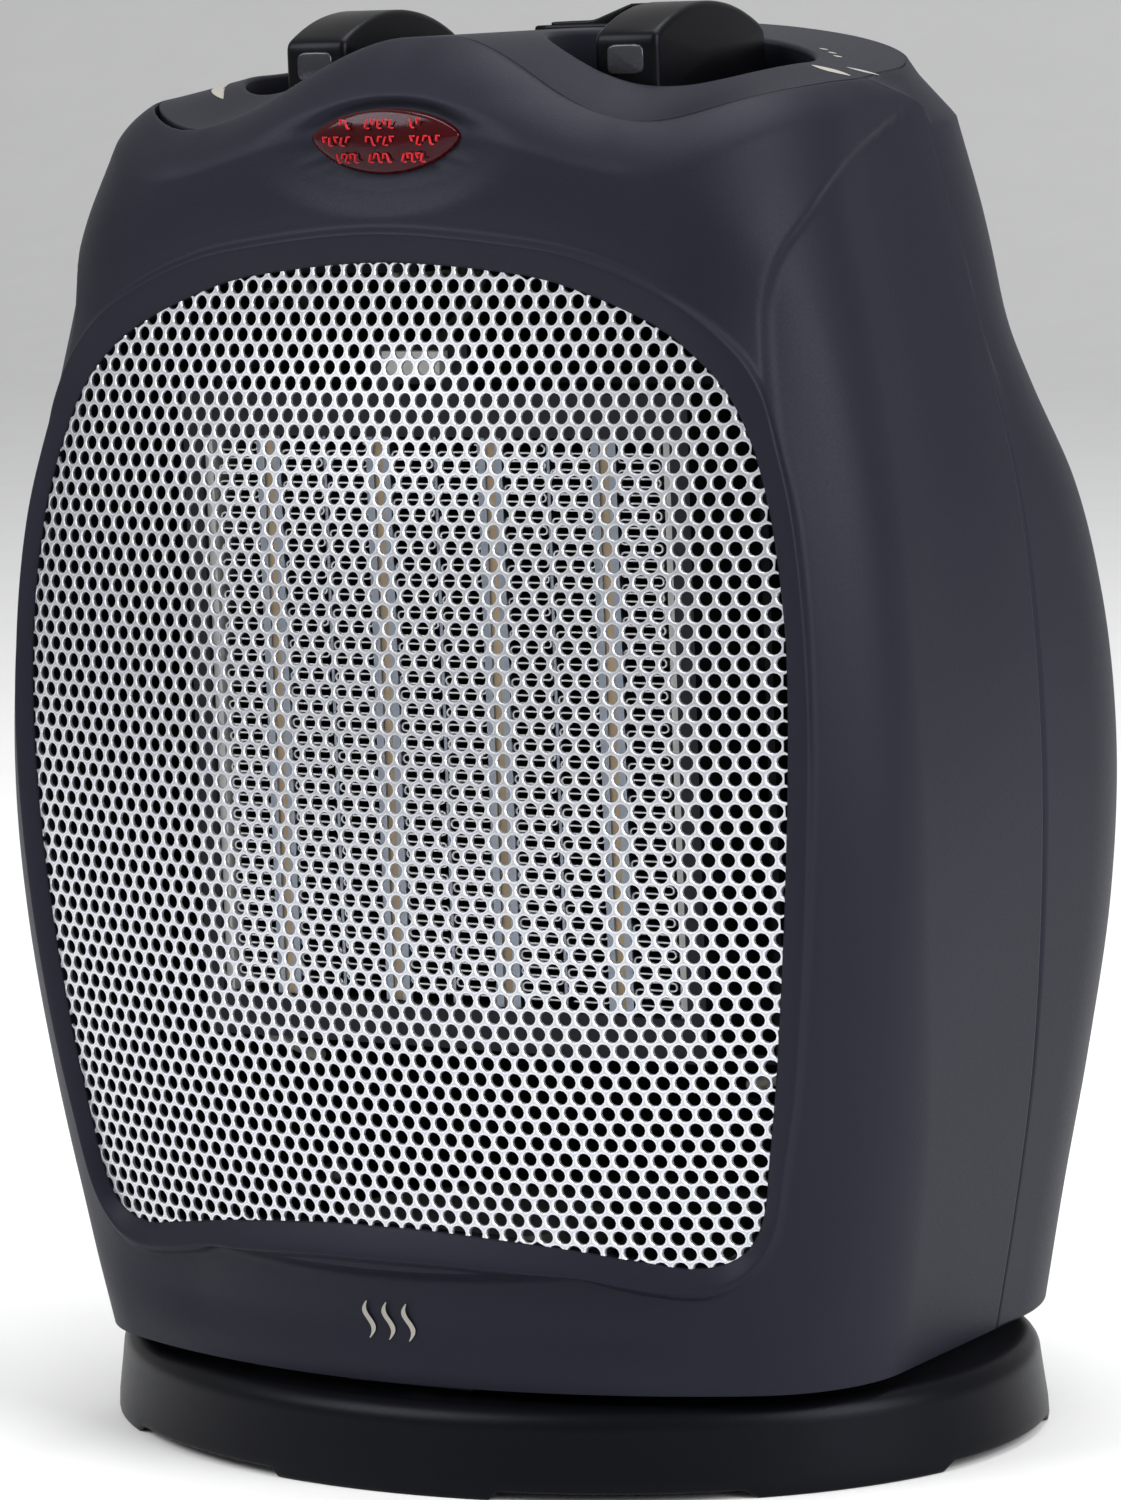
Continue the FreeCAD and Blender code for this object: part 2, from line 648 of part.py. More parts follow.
def make_element():
    width = dim("element_width")
    low = dim("element_low")
    high = dim("element_high")
    front = dim("element_front")
    depth = dim("element_depth")
    pitch = dim("bar_pitch")
    bar = dim("bar_width")
    strip = 2.0
    plates = []
    ceramics = []
    for index in range(4):
        x = "%r * dims.bar_pitch" % (index - 1.5)
        ceramics.append(block("ptc_strip_%d" % index, (strip, "dims.element_depth - 3",
                              "dims.element_high - dims.element_low"),
                              (x + " - %r" % (strip / 2), "dims.element_front + 0.6",
                               "dims.element_low")))
        for side in (-1, 1):
            thick = (bar - strip) / 2
            start = strip / 2 if side > 0 else -strip / 2 - thick
            plates.append(block("electrode_%d_%d" % (index, side + 1),
                                (thick, "dims.element_depth - 1",
                                 "dims.element_high - dims.element_low"),
                                (x + " + %r" % start, "dims.element_front", "dims.element_low")))
    group("ptc_ceramics", ceramics)
    group("electrode_bars", plates)
    fins = []
    for index in range(4):
        for side in (-1, 1):
            centre = (index - 1.5) * pitch + side * (bar / 2 + 0.1 + dim("fin_width") / 2)
            fins.append(box_shape((centre - dim("fin_width") / 2, front + 0.5, low + 1),
                                  (centre + dim("fin_width") / 2, front + depth - 1, high - 1)))
    feature("heat_fins", Part.makeCompound(fins))
    dividers = [block("divider_%d" % index, (0.6, "dims.element_depth - 2",
                      "dims.element_high - dims.element_low"),
                      ("%r * dims.bar_pitch - 0.3" % index, "dims.element_front + 0.6",
                       "dims.element_low"))
                for index in (-1, 0, 1)]
    group("fin_dividers", dividers)
    ends = [block("end_plate_%d" % index, (1.6, "dims.element_depth",
                  "dims.element_high - dims.element_low"),
                  (place, "dims.element_front", "dims.element_low"))
            for index, place in enumerate(("dims.element_width / 2 + 0.4",
                                           "-dims.element_width / 2 - 2"))]
    group("element_end_plates", ends)
    frame = box_shape((-width / 2 - 6, front - 1, low - 8), (width / 2 + 6, front + depth + 2, high + 8))
    window = box_shape((-width / 2 - 2.2, front - 5, low - 0.2),
                       (width / 2 + 2.2, front + depth + 5, high + 0.2))
    feature("element_frame", frame.cut(window))
    make_cutoff(high)


def make_cutoff(high):
    """Thermal cut-off on its bracket above the element."""
    block("cutoff_can", (12, 3, 4.6), (-8.5, -45, 197))
    keep(doc.getObject("cutoff_can"), "thermal_cutoff")
    block("cutoff_bracket_plate", (20, 1.2, 9), (-12.5, -41.9, 194.1))
    notch = block("cutoff_bracket_notch", (9, 4, 3.5), (-7, -43, 192))
    cut("cutoff_bracket", doc.getObject("cutoff_bracket_plate"), notch)


# ---------------------------------------------------------------- fan

def blade_shape():
    """One pitched fan blade: a slab sheared along the axis as it goes round the hub."""
    height = dim("fan_height")
    hub = dim("hub_radius")
    tip = dim("fan_radius")
    back = dim("fan_back")
    front = back - dim("fan_depth") + 3
    wires = []
    for radius, spread in ((hub - 1.0, 11.0), (tip, 21.0)):
        thick = 1.6
        level = height + radius
        points = [vector(-spread / 2, front, level),
                  vector(-spread / 2, front + thick, level),
                  vector(spread / 2, back - 2, level),
                  vector(spread / 2, back - 2 - thick, level)]
        wires.append(Part.makePolygon(points + [points[0]]))
    return Part.makeLoft(wires, True, True)


def make_fan():
    height = dim("fan_height")
    back = dim("fan_back")
    depth = dim("fan_depth")
    centre = vector(0, 0, height)
    hub = cylinder_shape(dim("hub_radius"), depth, (0, back - depth, height), Y)
    wheel = hub
    blades = 7
    for index in range(blades):
        blade = blade_shape()
        blade.rotate(centre, Y, 360.0 * index / blades)
        wheel = wheel.fuse(blade)
    limit = cylinder_shape(dim("fan_radius"), depth, (0, back - depth, height), Y)
    wheel = wheel.common(limit)
    wheel = wheel.cut(cylinder_shape(dim("shaft_radius") + 0.01, 80, (0, -20, height), Y))
    hollow = cylinder_shape(dim("hub_radius") - 2, depth - 2, (0, back - depth + 2, height), Y)
    boss = cylinder_shape(6, depth, (0, back - depth, height), Y)
    wheel = wheel.cut(hollow.cut(boss))
    feature("fan_wheel", wheel)
    rod("fan_shaft_rod", "dims.shaft_radius", 64.5, (0, -4, "dims.fan_height"), ALONG_Y)
    keep(doc.getObject("fan_shaft_rod"), "fan_shaft")
    core = rod("rotor_drum", "dims.rotor_radius", "dims.stator_thick + 2",
               (0, "dims.stator_front - 1", "dims.fan_height"), ALONG_Y)
    bore = rod("rotor_bore", "dims.shaft_radius + 0.01", 60, (0, 0, "dims.fan_height"), ALONG_Y)
    cut("motor_rotor", core, bore)
    clip = rod("clip_disc", 6, 1.0, (0, "dims.fan_back - dims.fan_depth - 1", "dims.fan_height"), ALONG_Y)
    clip_bore = rod("clip_bore", "dims.shaft_radius + 0.01", 20, (0, -15, "dims.fan_height"), ALONG_Y)
    cut("fan_clip", clip, clip_bore)


def make_motor():
    height = dim("fan_height")
    front = dim("stator_front")
    thick = dim("stator_thick")
    half_w = dim("stator_width") / 2
    half_h = dim("stator_height") / 2
    stack = box_shape((-half_w, front, height - half_h), (half_w, front + thick, height + half_h))
    stack = stack.cut(cylinder_shape(dim("rotor_radius") + 0.5, 60, (0, front - 10, height), Y))
    window = box_shape((-half_w + 8, front - 1, height - half_h + 6),
                       (half_w - 8, front + thick + 1, height - half_h + 12))
    feature("motor_stator", stack.cut(window))
    sole = height - half_h
    core = box_shape((-13, front - 6, sole - 8), (13, front + thick + 6, sole + 11.6))
    core = core.cut(box_shape((-40, front - 0.2, sole - 10), (40, front + thick + 0.2, sole + 6.2)))
    coil = core.cut(box_shape((-40, front - 0.2, sole + 6.3), (40, front + thick + 0.2, sole + 30)))
    feature("motor_coil", coil)
    for name, place, bush in (("motor_bracket_front", front - 7.5, "front_bush"),
                              ("motor_bracket_rear", front + thick + 6.3, "rear_bush")):
        bar = box_shape((-26, place, height - 7), (26, place + 1.5, height + 7))
        bar = bar.cut(cylinder_shape(5.01, 20, (0, place - 5, height), Y))
        gap = front - (place + 1.5) if place < front else place - front - thick
        start = place + 1.5 if place < front else front + thick
        for side in (-1, 1):
            bar = bar.fuse(box_shape((side * 23 - 3, start, height - 5),
                                     (side * 23 + 3, start + gap, height + 5)))
        feature(name, bar)
        ring = cylinder_shape(5.0, 3.0, (0, place - 0.75, height), Y)
        bore = cylinder_shape(dim("shaft_radius") + 0.04, 20, (0, place - 5, height), Y)
        feature(bush, ring.cut(bore))


def make_airway():
    """Bulkhead with the fan ring, and the duct that leads from it to the element."""
    height = dim("fan_height")
    radius = dim("shroud_radius")
    ring_front = -6.0
    plate = box_shape((-70, ring_front, height - 64), (70, ring_front + 2, height + 64))
    ring = cylinder_shape(radius + 2, 22, (0, ring_front, height), Y)
    shroud = plate.fuse(ring).cut(cylinder_shape(radius, 60, (0, -30, height), Y))
    feature("fan_shroud", shroud)
    spokes = cylinder_shape(radius + 2, 2.0, (0, 16.2, height), Y)
    spokes = spokes.cut(cylinder_shape(radius - 1.0, 10, (0, 12, height), Y))
    for turn in (45, 135):
        bar = box_shape((-radius, 16.2, height - 3), (radius, 18.2, height + 3))
        bar.rotate(vector(0, 0, height), Y, turn)
        spokes = spokes.fuse(bar)
    spokes = spokes.cut(cylinder_shape(5.4, 20, (0, 10, height), Y))
    seat = dim("stator_front") - 18.2
    for x in (-25, 25):
        for z in (-21, 21):
            post = cylinder_shape(2.5, seat + 1.0, (x, 17.2, height + z), Y)
            spokes = spokes.fuse(post)
    feature("motor_mount", spokes)
    outer = box_shape((-58, -24.2, height - 62), (58, ring_front - 0.2, height + 62))
    inner = box_shape((-56.4, -30, height - 60.4), (56.4, 0, height + 60.4))
    feature("air_duct", outer.cut(inner))


def make_inlet():
    """Foam filter pad held behind the rear slots, and the lead gland low on the back."""
    block("filter_pad", (96, 3, 92), (-48, 62.2, 78))
    keep(doc.getObject("filter_pad"), "inlet_filter")
    level = "dims.gland_height"
    gland = rod("gland_tube", 5.9, 11, (0, 66.0, level), ALONG_Y)
    lip = rod("gland_lip", 8.0, 2.0, (0, 66.0, level), ALONG_Y)
    bore = rod("gland_bore", 3.6, 40, (0, 50, level), ALONG_Y)
    body = doc.addObject("Part::Fuse", "gland_body")
    body.Base = gland
    body.Tool = lip
    cut("lead_gland", body, bore)


# ---------------------------------------------------------------- controls

def blade_face():
    """Side view of the knob's finger blade: flat foot, upright ends, arched back."""
    half = dim("blade_length") / 2
    end = dim("blade_end")
    top = dim("blade_top")
    foot = dim("well_floor") + 4.0
    y = dim("knob_y")
    a = vector(0, y - half, foot)
    b = vector(0, y + half, foot)
    c = vector(0, y + half, end)
    d = vector(0, y - half, end)
    arch = Part.Arc(c, vector(0, y, top), d).toShape()
    wire = Part.Wire([Part.LineSegment(a, b).toShape(), Part.LineSegment(b, c).toShape(), arch,
                      Part.LineSegment(d, a).toShape()])
    return Part.Face(wire)


def make_knob(name, side):
    """Round foot with a thick arched finger blade, and a clear pointer in its front end."""
    x = side * dim("knob_x")
    y = dim("knob_y")
    thick = dim("blade_thick")
    floor = dim("well_floor")
    blade = blade_face()
    blade.translate(vector(x - thick / 2, 0, 0))
    blade = blade.extrude(vector(thick, 0, 0))
    blade = blade.makeFillet(1.2, [edge for edge in blade.Edges if edge.BoundBox.ZMin > floor + 8])
    foot = cylinder_shape(dim("knob_disc_radius"), 3.6, (x, y, floor + 0.8))
    knob = foot.fuse(blade)
    low = dim("blade_end") - 8.5
    notch = box_shape((x - 3.6, y - dim("blade_length") / 2 - 2, low),
                      (x + 3.6, y - dim("blade_length") / 2 + 2.4, dim("blade_end") - 1.5))
    knob = knob.cut(notch)
    knob = knob.cut(cylinder_shape(dim("spindle_radius") + 0.01, 12, (x, y, floor - 1)))
    feature(name + "_knob", knob.removeSplitter())
    pointer = box_shape((x - 3.5, y - dim("blade_length") / 2 + 0.1, low + 0.1),
                        (x + 3.5, y - dim("blade_length") / 2 + 2.3, dim("blade_end") - 1.6))
    feature(name + "_pointer", pointer)
    sign = "-" if side < 0 else ""
    rod(name + "_spindle_rod", "dims.spindle_radius", 24.0,
        (sign + "dims.knob_x", "dims.knob_y", "dims.well_floor - 13.2"))
    keep(doc.getObject(name + "_spindle_rod"), name + "_spindle")


def make_switches():
    """Bracket under the cover with the thermostat and the rotary mode switch."""
    y = dim("knob_y")
    x = dim("knob_x")
    level = dim("well_floor") - 9.0
    plate = box_shape((-58, y - 13, level), (58, y + 13, level + 1.4))
    for side in (-1, 1):
        plate = plate.cut(cylinder_shape(5.2, 10, (side * x, y, level - 4)))
        post = box_shape((side * 55 - 3, y - 6, level + 1.4), (side * 55 + 3, y + 6, level + 6.4))
        post = post.cut(cylinder_shape(dim("well_radius") + 2.2, 40, (side * x, y, level + 5)))
        plate = plate.fuse(post)
    feature("control_bracket", plate)
    spindle_bore = dim("spindle_radius") + 0.05
    stat = box_shape((-x - 15, y - 12, level - 19), (-x + 15, y + 12, level - 0.1))
    stat = stat.fuse(cylinder_shape(5.0, 6, (-x, y, level - 0.1)))
    feature("thermostat", stat.cut(cylinder_shape(spindle_bore, 20, (-x, y, level - 5))))
    rotary = cylinder_shape(15, 18, (x, y, level - 18.1))
    rotary = rotary.fuse(cylinder_shape(5.0, 6, (x, y, level - 0.1)))
    feature("mode_switch", rotary.cut(cylinder_shape(spindle_bore, 20, (x, y, level - 5))))


def make_rocker():
    """Oscillation rocker: bezel with its box, and a paddle that tips about Y."""
    y = dim("rocker_y")
    length = dim("rocker_length")
    width = dim("rocker_width")
    pivot = dim("rocker_pivot")
    top = dim("rocker_top")
    rim = 2.0
    seat = crown_height_at(length / 2, y)
    bezel = box_shape((-length / 2, y - width / 2, seat - 0.3), (length / 2, y + width / 2, top))
    bezel = bezel.makeFillet(0.5, [edge for edge in bezel.Edges if edge.BoundBox.ZMin > top - 0.1])
    bezel = bezel.cut(under_crown(0))
    can = box_shape((-length / 2 + 1.3, y - width / 2 + 1.3, 238.0),
                    (length / 2 - 1.3, y + width / 2 - 1.3, top - 0.4))
    housing = bezel.fuse(can)
    housing = housing.cut(box_shape((-length / 2 + rim, y - width / 2 + rim, 246.5),
                                    (length / 2 - rim, y + width / 2 - rim, top + 5.0)))
    feature("rocker_housing", housing)
    half = length / 2 - rim - 0.9
    outline = [(-half, 2.4), (-half, 3.6), (0, 2.2), (half, 3.6), (half, 2.4), (2.5, -5.0), (-2.5, -5.0)]
    tilt = math.radians(dim("rocker_tilt"))
    low_y = y - width / 2 + rim + 0.4
    points = []
    for x, z in outline:
        points.append(vector(x * math.cos(tilt) - z * math.sin(tilt), low_y,
                             pivot + x * math.sin(tilt) + z * math.cos(tilt)))
    face = Part.Face(Part.makePolygon(points + [points[0]]))
    paddle = face.extrude(vector(0, width - 2 * rim - 0.8, 0))
    feature("rocker_paddle", paddle)


# ---------------------------------------------------------------- fasteners and leads

def boss_places():
    """X and Z of the four screw bosses that join the two shells."""
    x = dim("boss_x")
    return [(side * x, dim(level)) for side in (-1, 1) for level in ("boss_low", "boss_high")]


def make_fasteners():
    """Four screws, driven from the back through the rear shell's sleeves."""
    seat = dim("parting_y") + 13.0
    screws = []
    for x, z in boss_places():
        shank = cylinder_shape(1.5, 11.0, (x, seat - 11.0, z), Y)
        screws.append(shank.fuse(cylinder_shape(3.2, 2.4, (x, seat, z), Y)))
    feature("shell_screws", Part.makeCompound(screws))


def make_leads():
    """Inner leads: each one straight runs joined by tangent bends of one radius."""
    routes = (
        [(-32, -2, 212.4), (-32, 40, 212.4), (-66, 38, 180), (-76, 18, 110), (-74, -12, 74),
         (-46, -16, 66)],
        [(32, -2, 212.4), (32, 40, 212.4), (66, 38, 180), (76, 18, 110), (74, -12, 74),
         (46, -16, 66)],
        [(48, 27, 51), (48, 40, 70), (30, 46, 96)],
    )
    leads = []
    for route in routes:
        leads.append(tube_along([vector(*point) for point in route], 1.2))
    feature("inner_leads", Part.makeCompound(leads))


def tube_along(points, radius):
    """Round tube along straight runs with a tangent arc at every corner."""
    edges = []
    start = points[0]
    for index in range(1, len(points) - 1):
        corner = points[index]
        before = (points[index - 1] - corner).normalize()
        after = (points[index + 1] - corner).normalize()
        shorter = min((points[index - 1] - corner).Length, (points[index + 1] - corner).Length)
        reach = 0.4 * shorter
        entry = corner + before * reach
        leave = corner + after * reach
        turn = math.pi - before.getAngle(after)
        bend = reach / math.tan(turn / 2)
        centre = corner + (before + after).normalize() * (bend / math.cos(turn / 2))
        middle = centre + (corner - centre).normalize() * bend
        edges.append(Part.LineSegment(start, entry).toShape())
        edges.append(Part.Arc(entry, middle, leave).toShape())
        start = leave
    edges.append(Part.LineSegment(start, points[-1]).toShape())
    path = Part.Wire(edges)
    direction = points[1] - points[0]
    ring = Part.Wire(Part.Circle(points[0], direction, radius).toShape())
    return path.makePipeShell([ring], True, False)


# ---------------------------------------------------------------- build and write

make_base()
make_swivel()
make_track()
make_crank()
make_chassis()
make_housing()
make_element()
make_fan()
make_motor()
make_airway()
make_inlet()
make_knob("thermostat", -1)
make_knob("mode", 1)
make_switches()
make_rocker()
make_fasteners()
make_leads()
doc.recompute()

for thing in doc.Objects:
    if "Invalid" in thing.State or "Error" in thing.State:
        raise RuntimeError("failed object: " + thing.Label)
for node in nodes:
    if node.Shape.isNull() or not node.Shape.isValid():
        raise RuntimeError("bad shape: " + node.Label)
    if not node.Shape.Solids:
        raise RuntimeError("no solid: " + node.Label)
for node in nodes:
    node.Shape.exportStep(os.path.join("parts", node.Label + ".step"))
    box = node.Shape.BoundBox
    print("%-22s solids %2d  volume %10.1f  x %.1f..%.1f  y %.1f..%.1f  z %.1f..%.1f" % (
        node.Label, len(node.Shape.Solids), node.Shape.Volume, box.XMin, box.XMax,
        box.YMin, box.YMax, box.ZMin, box.ZMax))
print("nodes:", len(nodes))
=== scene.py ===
import json
import math

import bpy
import numpy as np

from mathutils import Matrix, Vector


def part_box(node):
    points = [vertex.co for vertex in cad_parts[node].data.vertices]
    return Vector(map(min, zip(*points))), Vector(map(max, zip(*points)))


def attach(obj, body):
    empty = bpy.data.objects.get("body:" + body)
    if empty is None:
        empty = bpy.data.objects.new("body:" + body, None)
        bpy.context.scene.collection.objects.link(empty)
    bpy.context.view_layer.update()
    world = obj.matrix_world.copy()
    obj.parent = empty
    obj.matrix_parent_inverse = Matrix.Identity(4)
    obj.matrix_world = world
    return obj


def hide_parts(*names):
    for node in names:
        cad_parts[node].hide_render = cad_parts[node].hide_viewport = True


bl_info = {
    "name": "Ceramic Heater",
    "version": (1, 0, 0),
    "blender": (4, 5, 0),
    "location": "3D View > Sidebar > Heater",
    "description": "Builds the shells, outlet mesh, heating element and controls of a ceramic fan heater",
    "category": "Object",
}

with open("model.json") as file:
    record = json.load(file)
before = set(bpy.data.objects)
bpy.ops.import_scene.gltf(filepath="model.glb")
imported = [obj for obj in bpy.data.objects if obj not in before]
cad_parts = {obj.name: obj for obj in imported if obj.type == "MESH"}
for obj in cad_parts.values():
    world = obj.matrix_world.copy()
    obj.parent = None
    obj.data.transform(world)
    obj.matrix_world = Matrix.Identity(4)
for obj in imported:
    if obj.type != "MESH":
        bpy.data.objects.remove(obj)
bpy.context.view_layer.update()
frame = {"nodes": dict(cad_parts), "record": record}
MM = 0.001


def node_box(name):
    """Lowest and highest corner of a CAD node, in millimetres."""
    low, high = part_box(name)
    return np.array(low) / MM, np.array(high) / MM


# ------------------------------------------------------------------ sizes and colours

class HeaterBodySizes(bpy.types.PropertyGroup):
    """Sizes of the moulded housing and base."""

    hood_height: bpy.props.FloatProperty(
        name="Hood height", description="Top of the hood over the lamp",
        default=0.2574, min=0.25, max=0.262, unit="LENGTH")
    valley_depth: bpy.props.FloatProperty(
        name="Valley depth", description="Depth of the valleys beside the hood",
        default=0.0118, min=0.0, max=0.016, unit="LENGTH")
    seam_gap: bpy.props.FloatProperty(
        name="Seam gap", description="Gap between neighbouring shells",
        default=0.0006, min=0.0001, max=0.001, unit="LENGTH")
    wall: bpy.props.FloatProperty(
        name="Wall", description="Thickness of the moulded shells",
        default=0.0024, min=0.001, max=0.004, unit="LENGTH")
    lip_depth: bpy.props.FloatProperty(
        name="Lip depth", description="How far the outlet mesh sits behind the shell",
        default=0.003, min=0.001, max=0.005, unit="LENGTH")


class HeaterOutletSizes(bpy.types.PropertyGroup):
    """Sizes of the perforated outlet and of the heating element."""

    hole_pitch: bpy.props.FloatProperty(
        name="Hole pitch", description="Distance between neighbouring holes",
        default=0.003263, min=0.002, max=0.008, unit="LENGTH")
    hole_width: bpy.props.FloatProperty(
        name="Hole width", description="Diameter of each hole",
        default=0.00262, min=0.001, max=0.006, unit="LENGTH")
    sheet_thickness: bpy.props.FloatProperty(
        name="Sheet thickness", description="Thickness of the perforated sheet",
        default=0.0008, min=0.0002, max=0.002, unit="LENGTH")
    fin_pitch: bpy.props.FloatProperty(
        name="Fin pitch", description="Distance between neighbouring walls of the folded fins",
        default=0.00145, min=0.0008, max=0.004, unit="LENGTH")


class HeaterColours(bpy.types.PropertyGroup):
    """Base colours of the visible finishes."""

    shell: bpy.props.FloatVectorProperty(
        name="Shell", description="Charcoal moulding", subtype="COLOR", size=3,
        default=(0.0085, 0.0090, 0.0150), min=0, max=1)
    base: bpy.props.FloatVectorProperty(
        name="Base", description="Darker base moulding", subtype="COLOR", size=3,
        default=(0.0018, 0.0019, 0.0028), min=0, max=1)
    knob: bpy.props.FloatVectorProperty(
        name="Knob", description="Near-black control plastic", subtype="COLOR", size=3,
        default=(0.0014, 0.0014, 0.0018), min=0, max=1)
    metal: bpy.props.FloatVectorProperty(
        name="Outlet metal", description="Bright perforated sheet", subtype="COLOR", size=3,
        default=(0.80, 0.82, 0.86), min=0, max=1)
    lens: bpy.props.FloatVectorProperty(
        name="Lens", description="Red lamp lens", subtype="COLOR", size=3,
        default=(0.13, 0.002, 0.004), min=0, max=1)
    print: bpy.props.FloatVectorProperty(
        name="Print", description="Pale printed marks", subtype="COLOR", size=3,
        default=(0.33, 0.31, 0.27), min=0, max=1)


def body_size(name):
    """Size of the housing, in millimetres."""
    return getattr(bpy.context.scene.heater_body, name) / MM


def outlet_size(name):
    """Size of the outlet or the heating element, in millimetres."""
    return getattr(bpy.context.scene.heater_outlet, name) / MM


def colours():
    return bpy.context.scene.heater_colours


# ------------------------------------------------------------------ small maths

def smooth(value):
    """Smoothstep of a value held between 0 and 1: 3t^2 - 2t^3."""
    held = np.clip(value, 0.0, 1.0)
    return held * held * (3.0 - 2.0 * held)


def spline(knots, values, at, periodic=False):
    """Cubic through the knots with slopes from the neighbouring chords (Catmull-Rom)."""
    knots = np.asarray(knots, float)
    values = np.asarray(values, float)
    if values.ndim == 1:
        values = values[:, None]
    if periodic:
        slopes = (np.roll(values, -1, 0) - np.roll(values, 1, 0)) / 2.0
        ends = np.roll(values, -1, 0)
        end_slopes = np.roll(slopes, -1, 0)
        index = np.floor(at).astype(int) % len(values)
        t = (np.asarray(at) % 1.0)[:, None]
        width = 1.0
        start, finish = values[index], ends[index]
        first, last = slopes[index], end_slopes[index]
    else:
        slopes = np.gradient(values, knots, axis=0)
        index = np.clip(np.searchsorted(knots, at, side="right") - 1, 0, len(knots) - 2)
        width = (knots[index + 1] - knots[index])[..., None]
        t = (np.asarray(at) - knots[index])[..., None] / width
        start, finish = values[index], values[index + 1]
        first, last = slopes[index], slopes[index + 1]
    square, cube = t * t, t * t * t
    return (start * (2 * cube - 3 * square + 1) + first * width * (cube - 2 * square + t)
            + finish * (3 * square - 2 * cube) + last * width * (cube - square))


# ------------------------------------------------------------------ mesh helpers

def weld(points, faces):
    """Merges points closer than a micrometre and drops the corners that fold together."""
    keys = np.round(points / 1e-3).astype(np.int64)
    _, first, inverse = np.unique(keys, axis=0, return_index=True, return_inverse=True)
    inverse = inverse.reshape(-1)
    kept = []
    for face in faces:
        face = inverse[face]
        if face.shape[1] == 3:
            good = (face[:, 0] != face[:, 1]) & (face[:, 1] != face[:, 2]) & (face[:, 2] != face[:, 0])
            kept.append(face[good])
            continue
        same = np.stack([face[:, k] == face[:, (k + 1) % 4] for k in range(4)], 1)
        kept.append(face[~same.any(1)])
        for corner in range(4):
            folded = face[same[:, corner] & (same.sum(1) == 1)]
            kept.append(np.delete(folded, corner, 1))
    return points[first], [face for face in kept if len(face)]


def make_piece(name, points, faces, material, body, outward=None, replaces=(), flat=False,
               shade=None):
    """Mesh object from points in millimetres and a list of index arrays.

    outward is a point inside the piece; faces are turned so that, on the whole, they
    look away from it.  shade is the name of a point attribute and the function of the
    points that gives it.
    """
    points, faces = weld(np.asarray(points, float), [np.asarray(face, int) for face in faces])
    if outward is not None:
        total = 0.0
        for face in faces:
            corners = points[face]
            normal = np.cross(corners[:, 1] - corners[:, 0], corners[:, 2] - corners[:, 0])
            total += np.sum(normal * (corners.mean(1) - np.asarray(outward)))
        if total < 0:
            faces = [face[:, ::-1] for face in faces]
    mesh = bpy.data.meshes.new(name)
    mesh.vertices.add(len(points))
    mesh.vertices.foreach_set("co", (points * MM).astype(np.float32).ravel())
    loops = np.concatenate([face.ravel() for face in faces])
    sizes = np.concatenate([np.full(len(face), face.shape[1]) for face in faces])
    starts = np.concatenate([[0], np.cumsum(sizes)[:-1]])
    mesh.loops.add(len(loops))
    mesh.loops.foreach_set("vertex_index", loops.astype(np.int32))
    mesh.polygons.add(len(sizes))
    mesh.polygons.foreach_set("loop_start", starts.astype(np.int32))
    mesh.polygons.foreach_set("use_smooth", np.full(len(sizes), not flat))
    if shade:
        layer = mesh.attributes.new(shade[0], "FLOAT", "POINT")
        layer.data.foreach_set("value", np.asarray(shade[1](points), np.float32))
    mesh.update(calc_edges=True)
    mesh.validate()
    piece = bpy.data.objects.new(name, mesh)
    bpy.context.scene.collection.objects.link(piece)
    mesh.materials.append(material)
    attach(piece, body)
    if replaces:
        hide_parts(*replaces)
    return piece


def grid_faces(rows, columns, wrap=False, start=0):
    """Quads of a grid of points stored row by row; wrap joins the last column to the first."""
    last = columns if wrap else columns - 1
    row = np.arange(rows - 1)[:, None] * columns
    here = np.arange(last)[None, :]
    after = (here + 1) % columns
    quads = np.stack([row + here, row + after, row + columns + after, row + columns + here], -1)
    return quads.reshape(-1, 4) + start


def fan_faces(ring, centre):
    """Triangles from a closed ring of indices to one centre index."""
    ring = np.asarray(ring)
    return np.stack([ring, np.roll(ring, -1), np.full(len(ring), centre)], -1)


def grid_normals(points, wrap=False):
    """Unit normals of a grid of points, from central differences along both directions."""
    along = np.gradient(points, axis=1)
    if wrap:
        along = (np.roll(points, -1, 1) - np.roll(points, 1, 1)) / 2.0
    across = np.gradient(points, axis=0)
    normal = np.cross(along, across)
    return normal / np.maximum(np.linalg.norm(normal, axis=-1, keepdims=True), 1e-9)


def outline_inset(outline, amount):
    """Closed 2D outline moved inwards along its own normals."""
    ahead = np.roll(outline, -1, 0) - np.roll(outline, 1, 0)
    ahead /= np.maximum(np.linalg.norm(ahead, axis=1, keepdims=True), 1e-9)
    normal = np.stack([-ahead[:, 1], ahead[:, 0]], 1)
    area = np.sum(outline[:, 0] * np.roll(outline[:, 1], -1) - outline[:, 1] * np.roll(outline[:, 0], -1))
    return outline + normal * (amount if area > 0 else -amount)


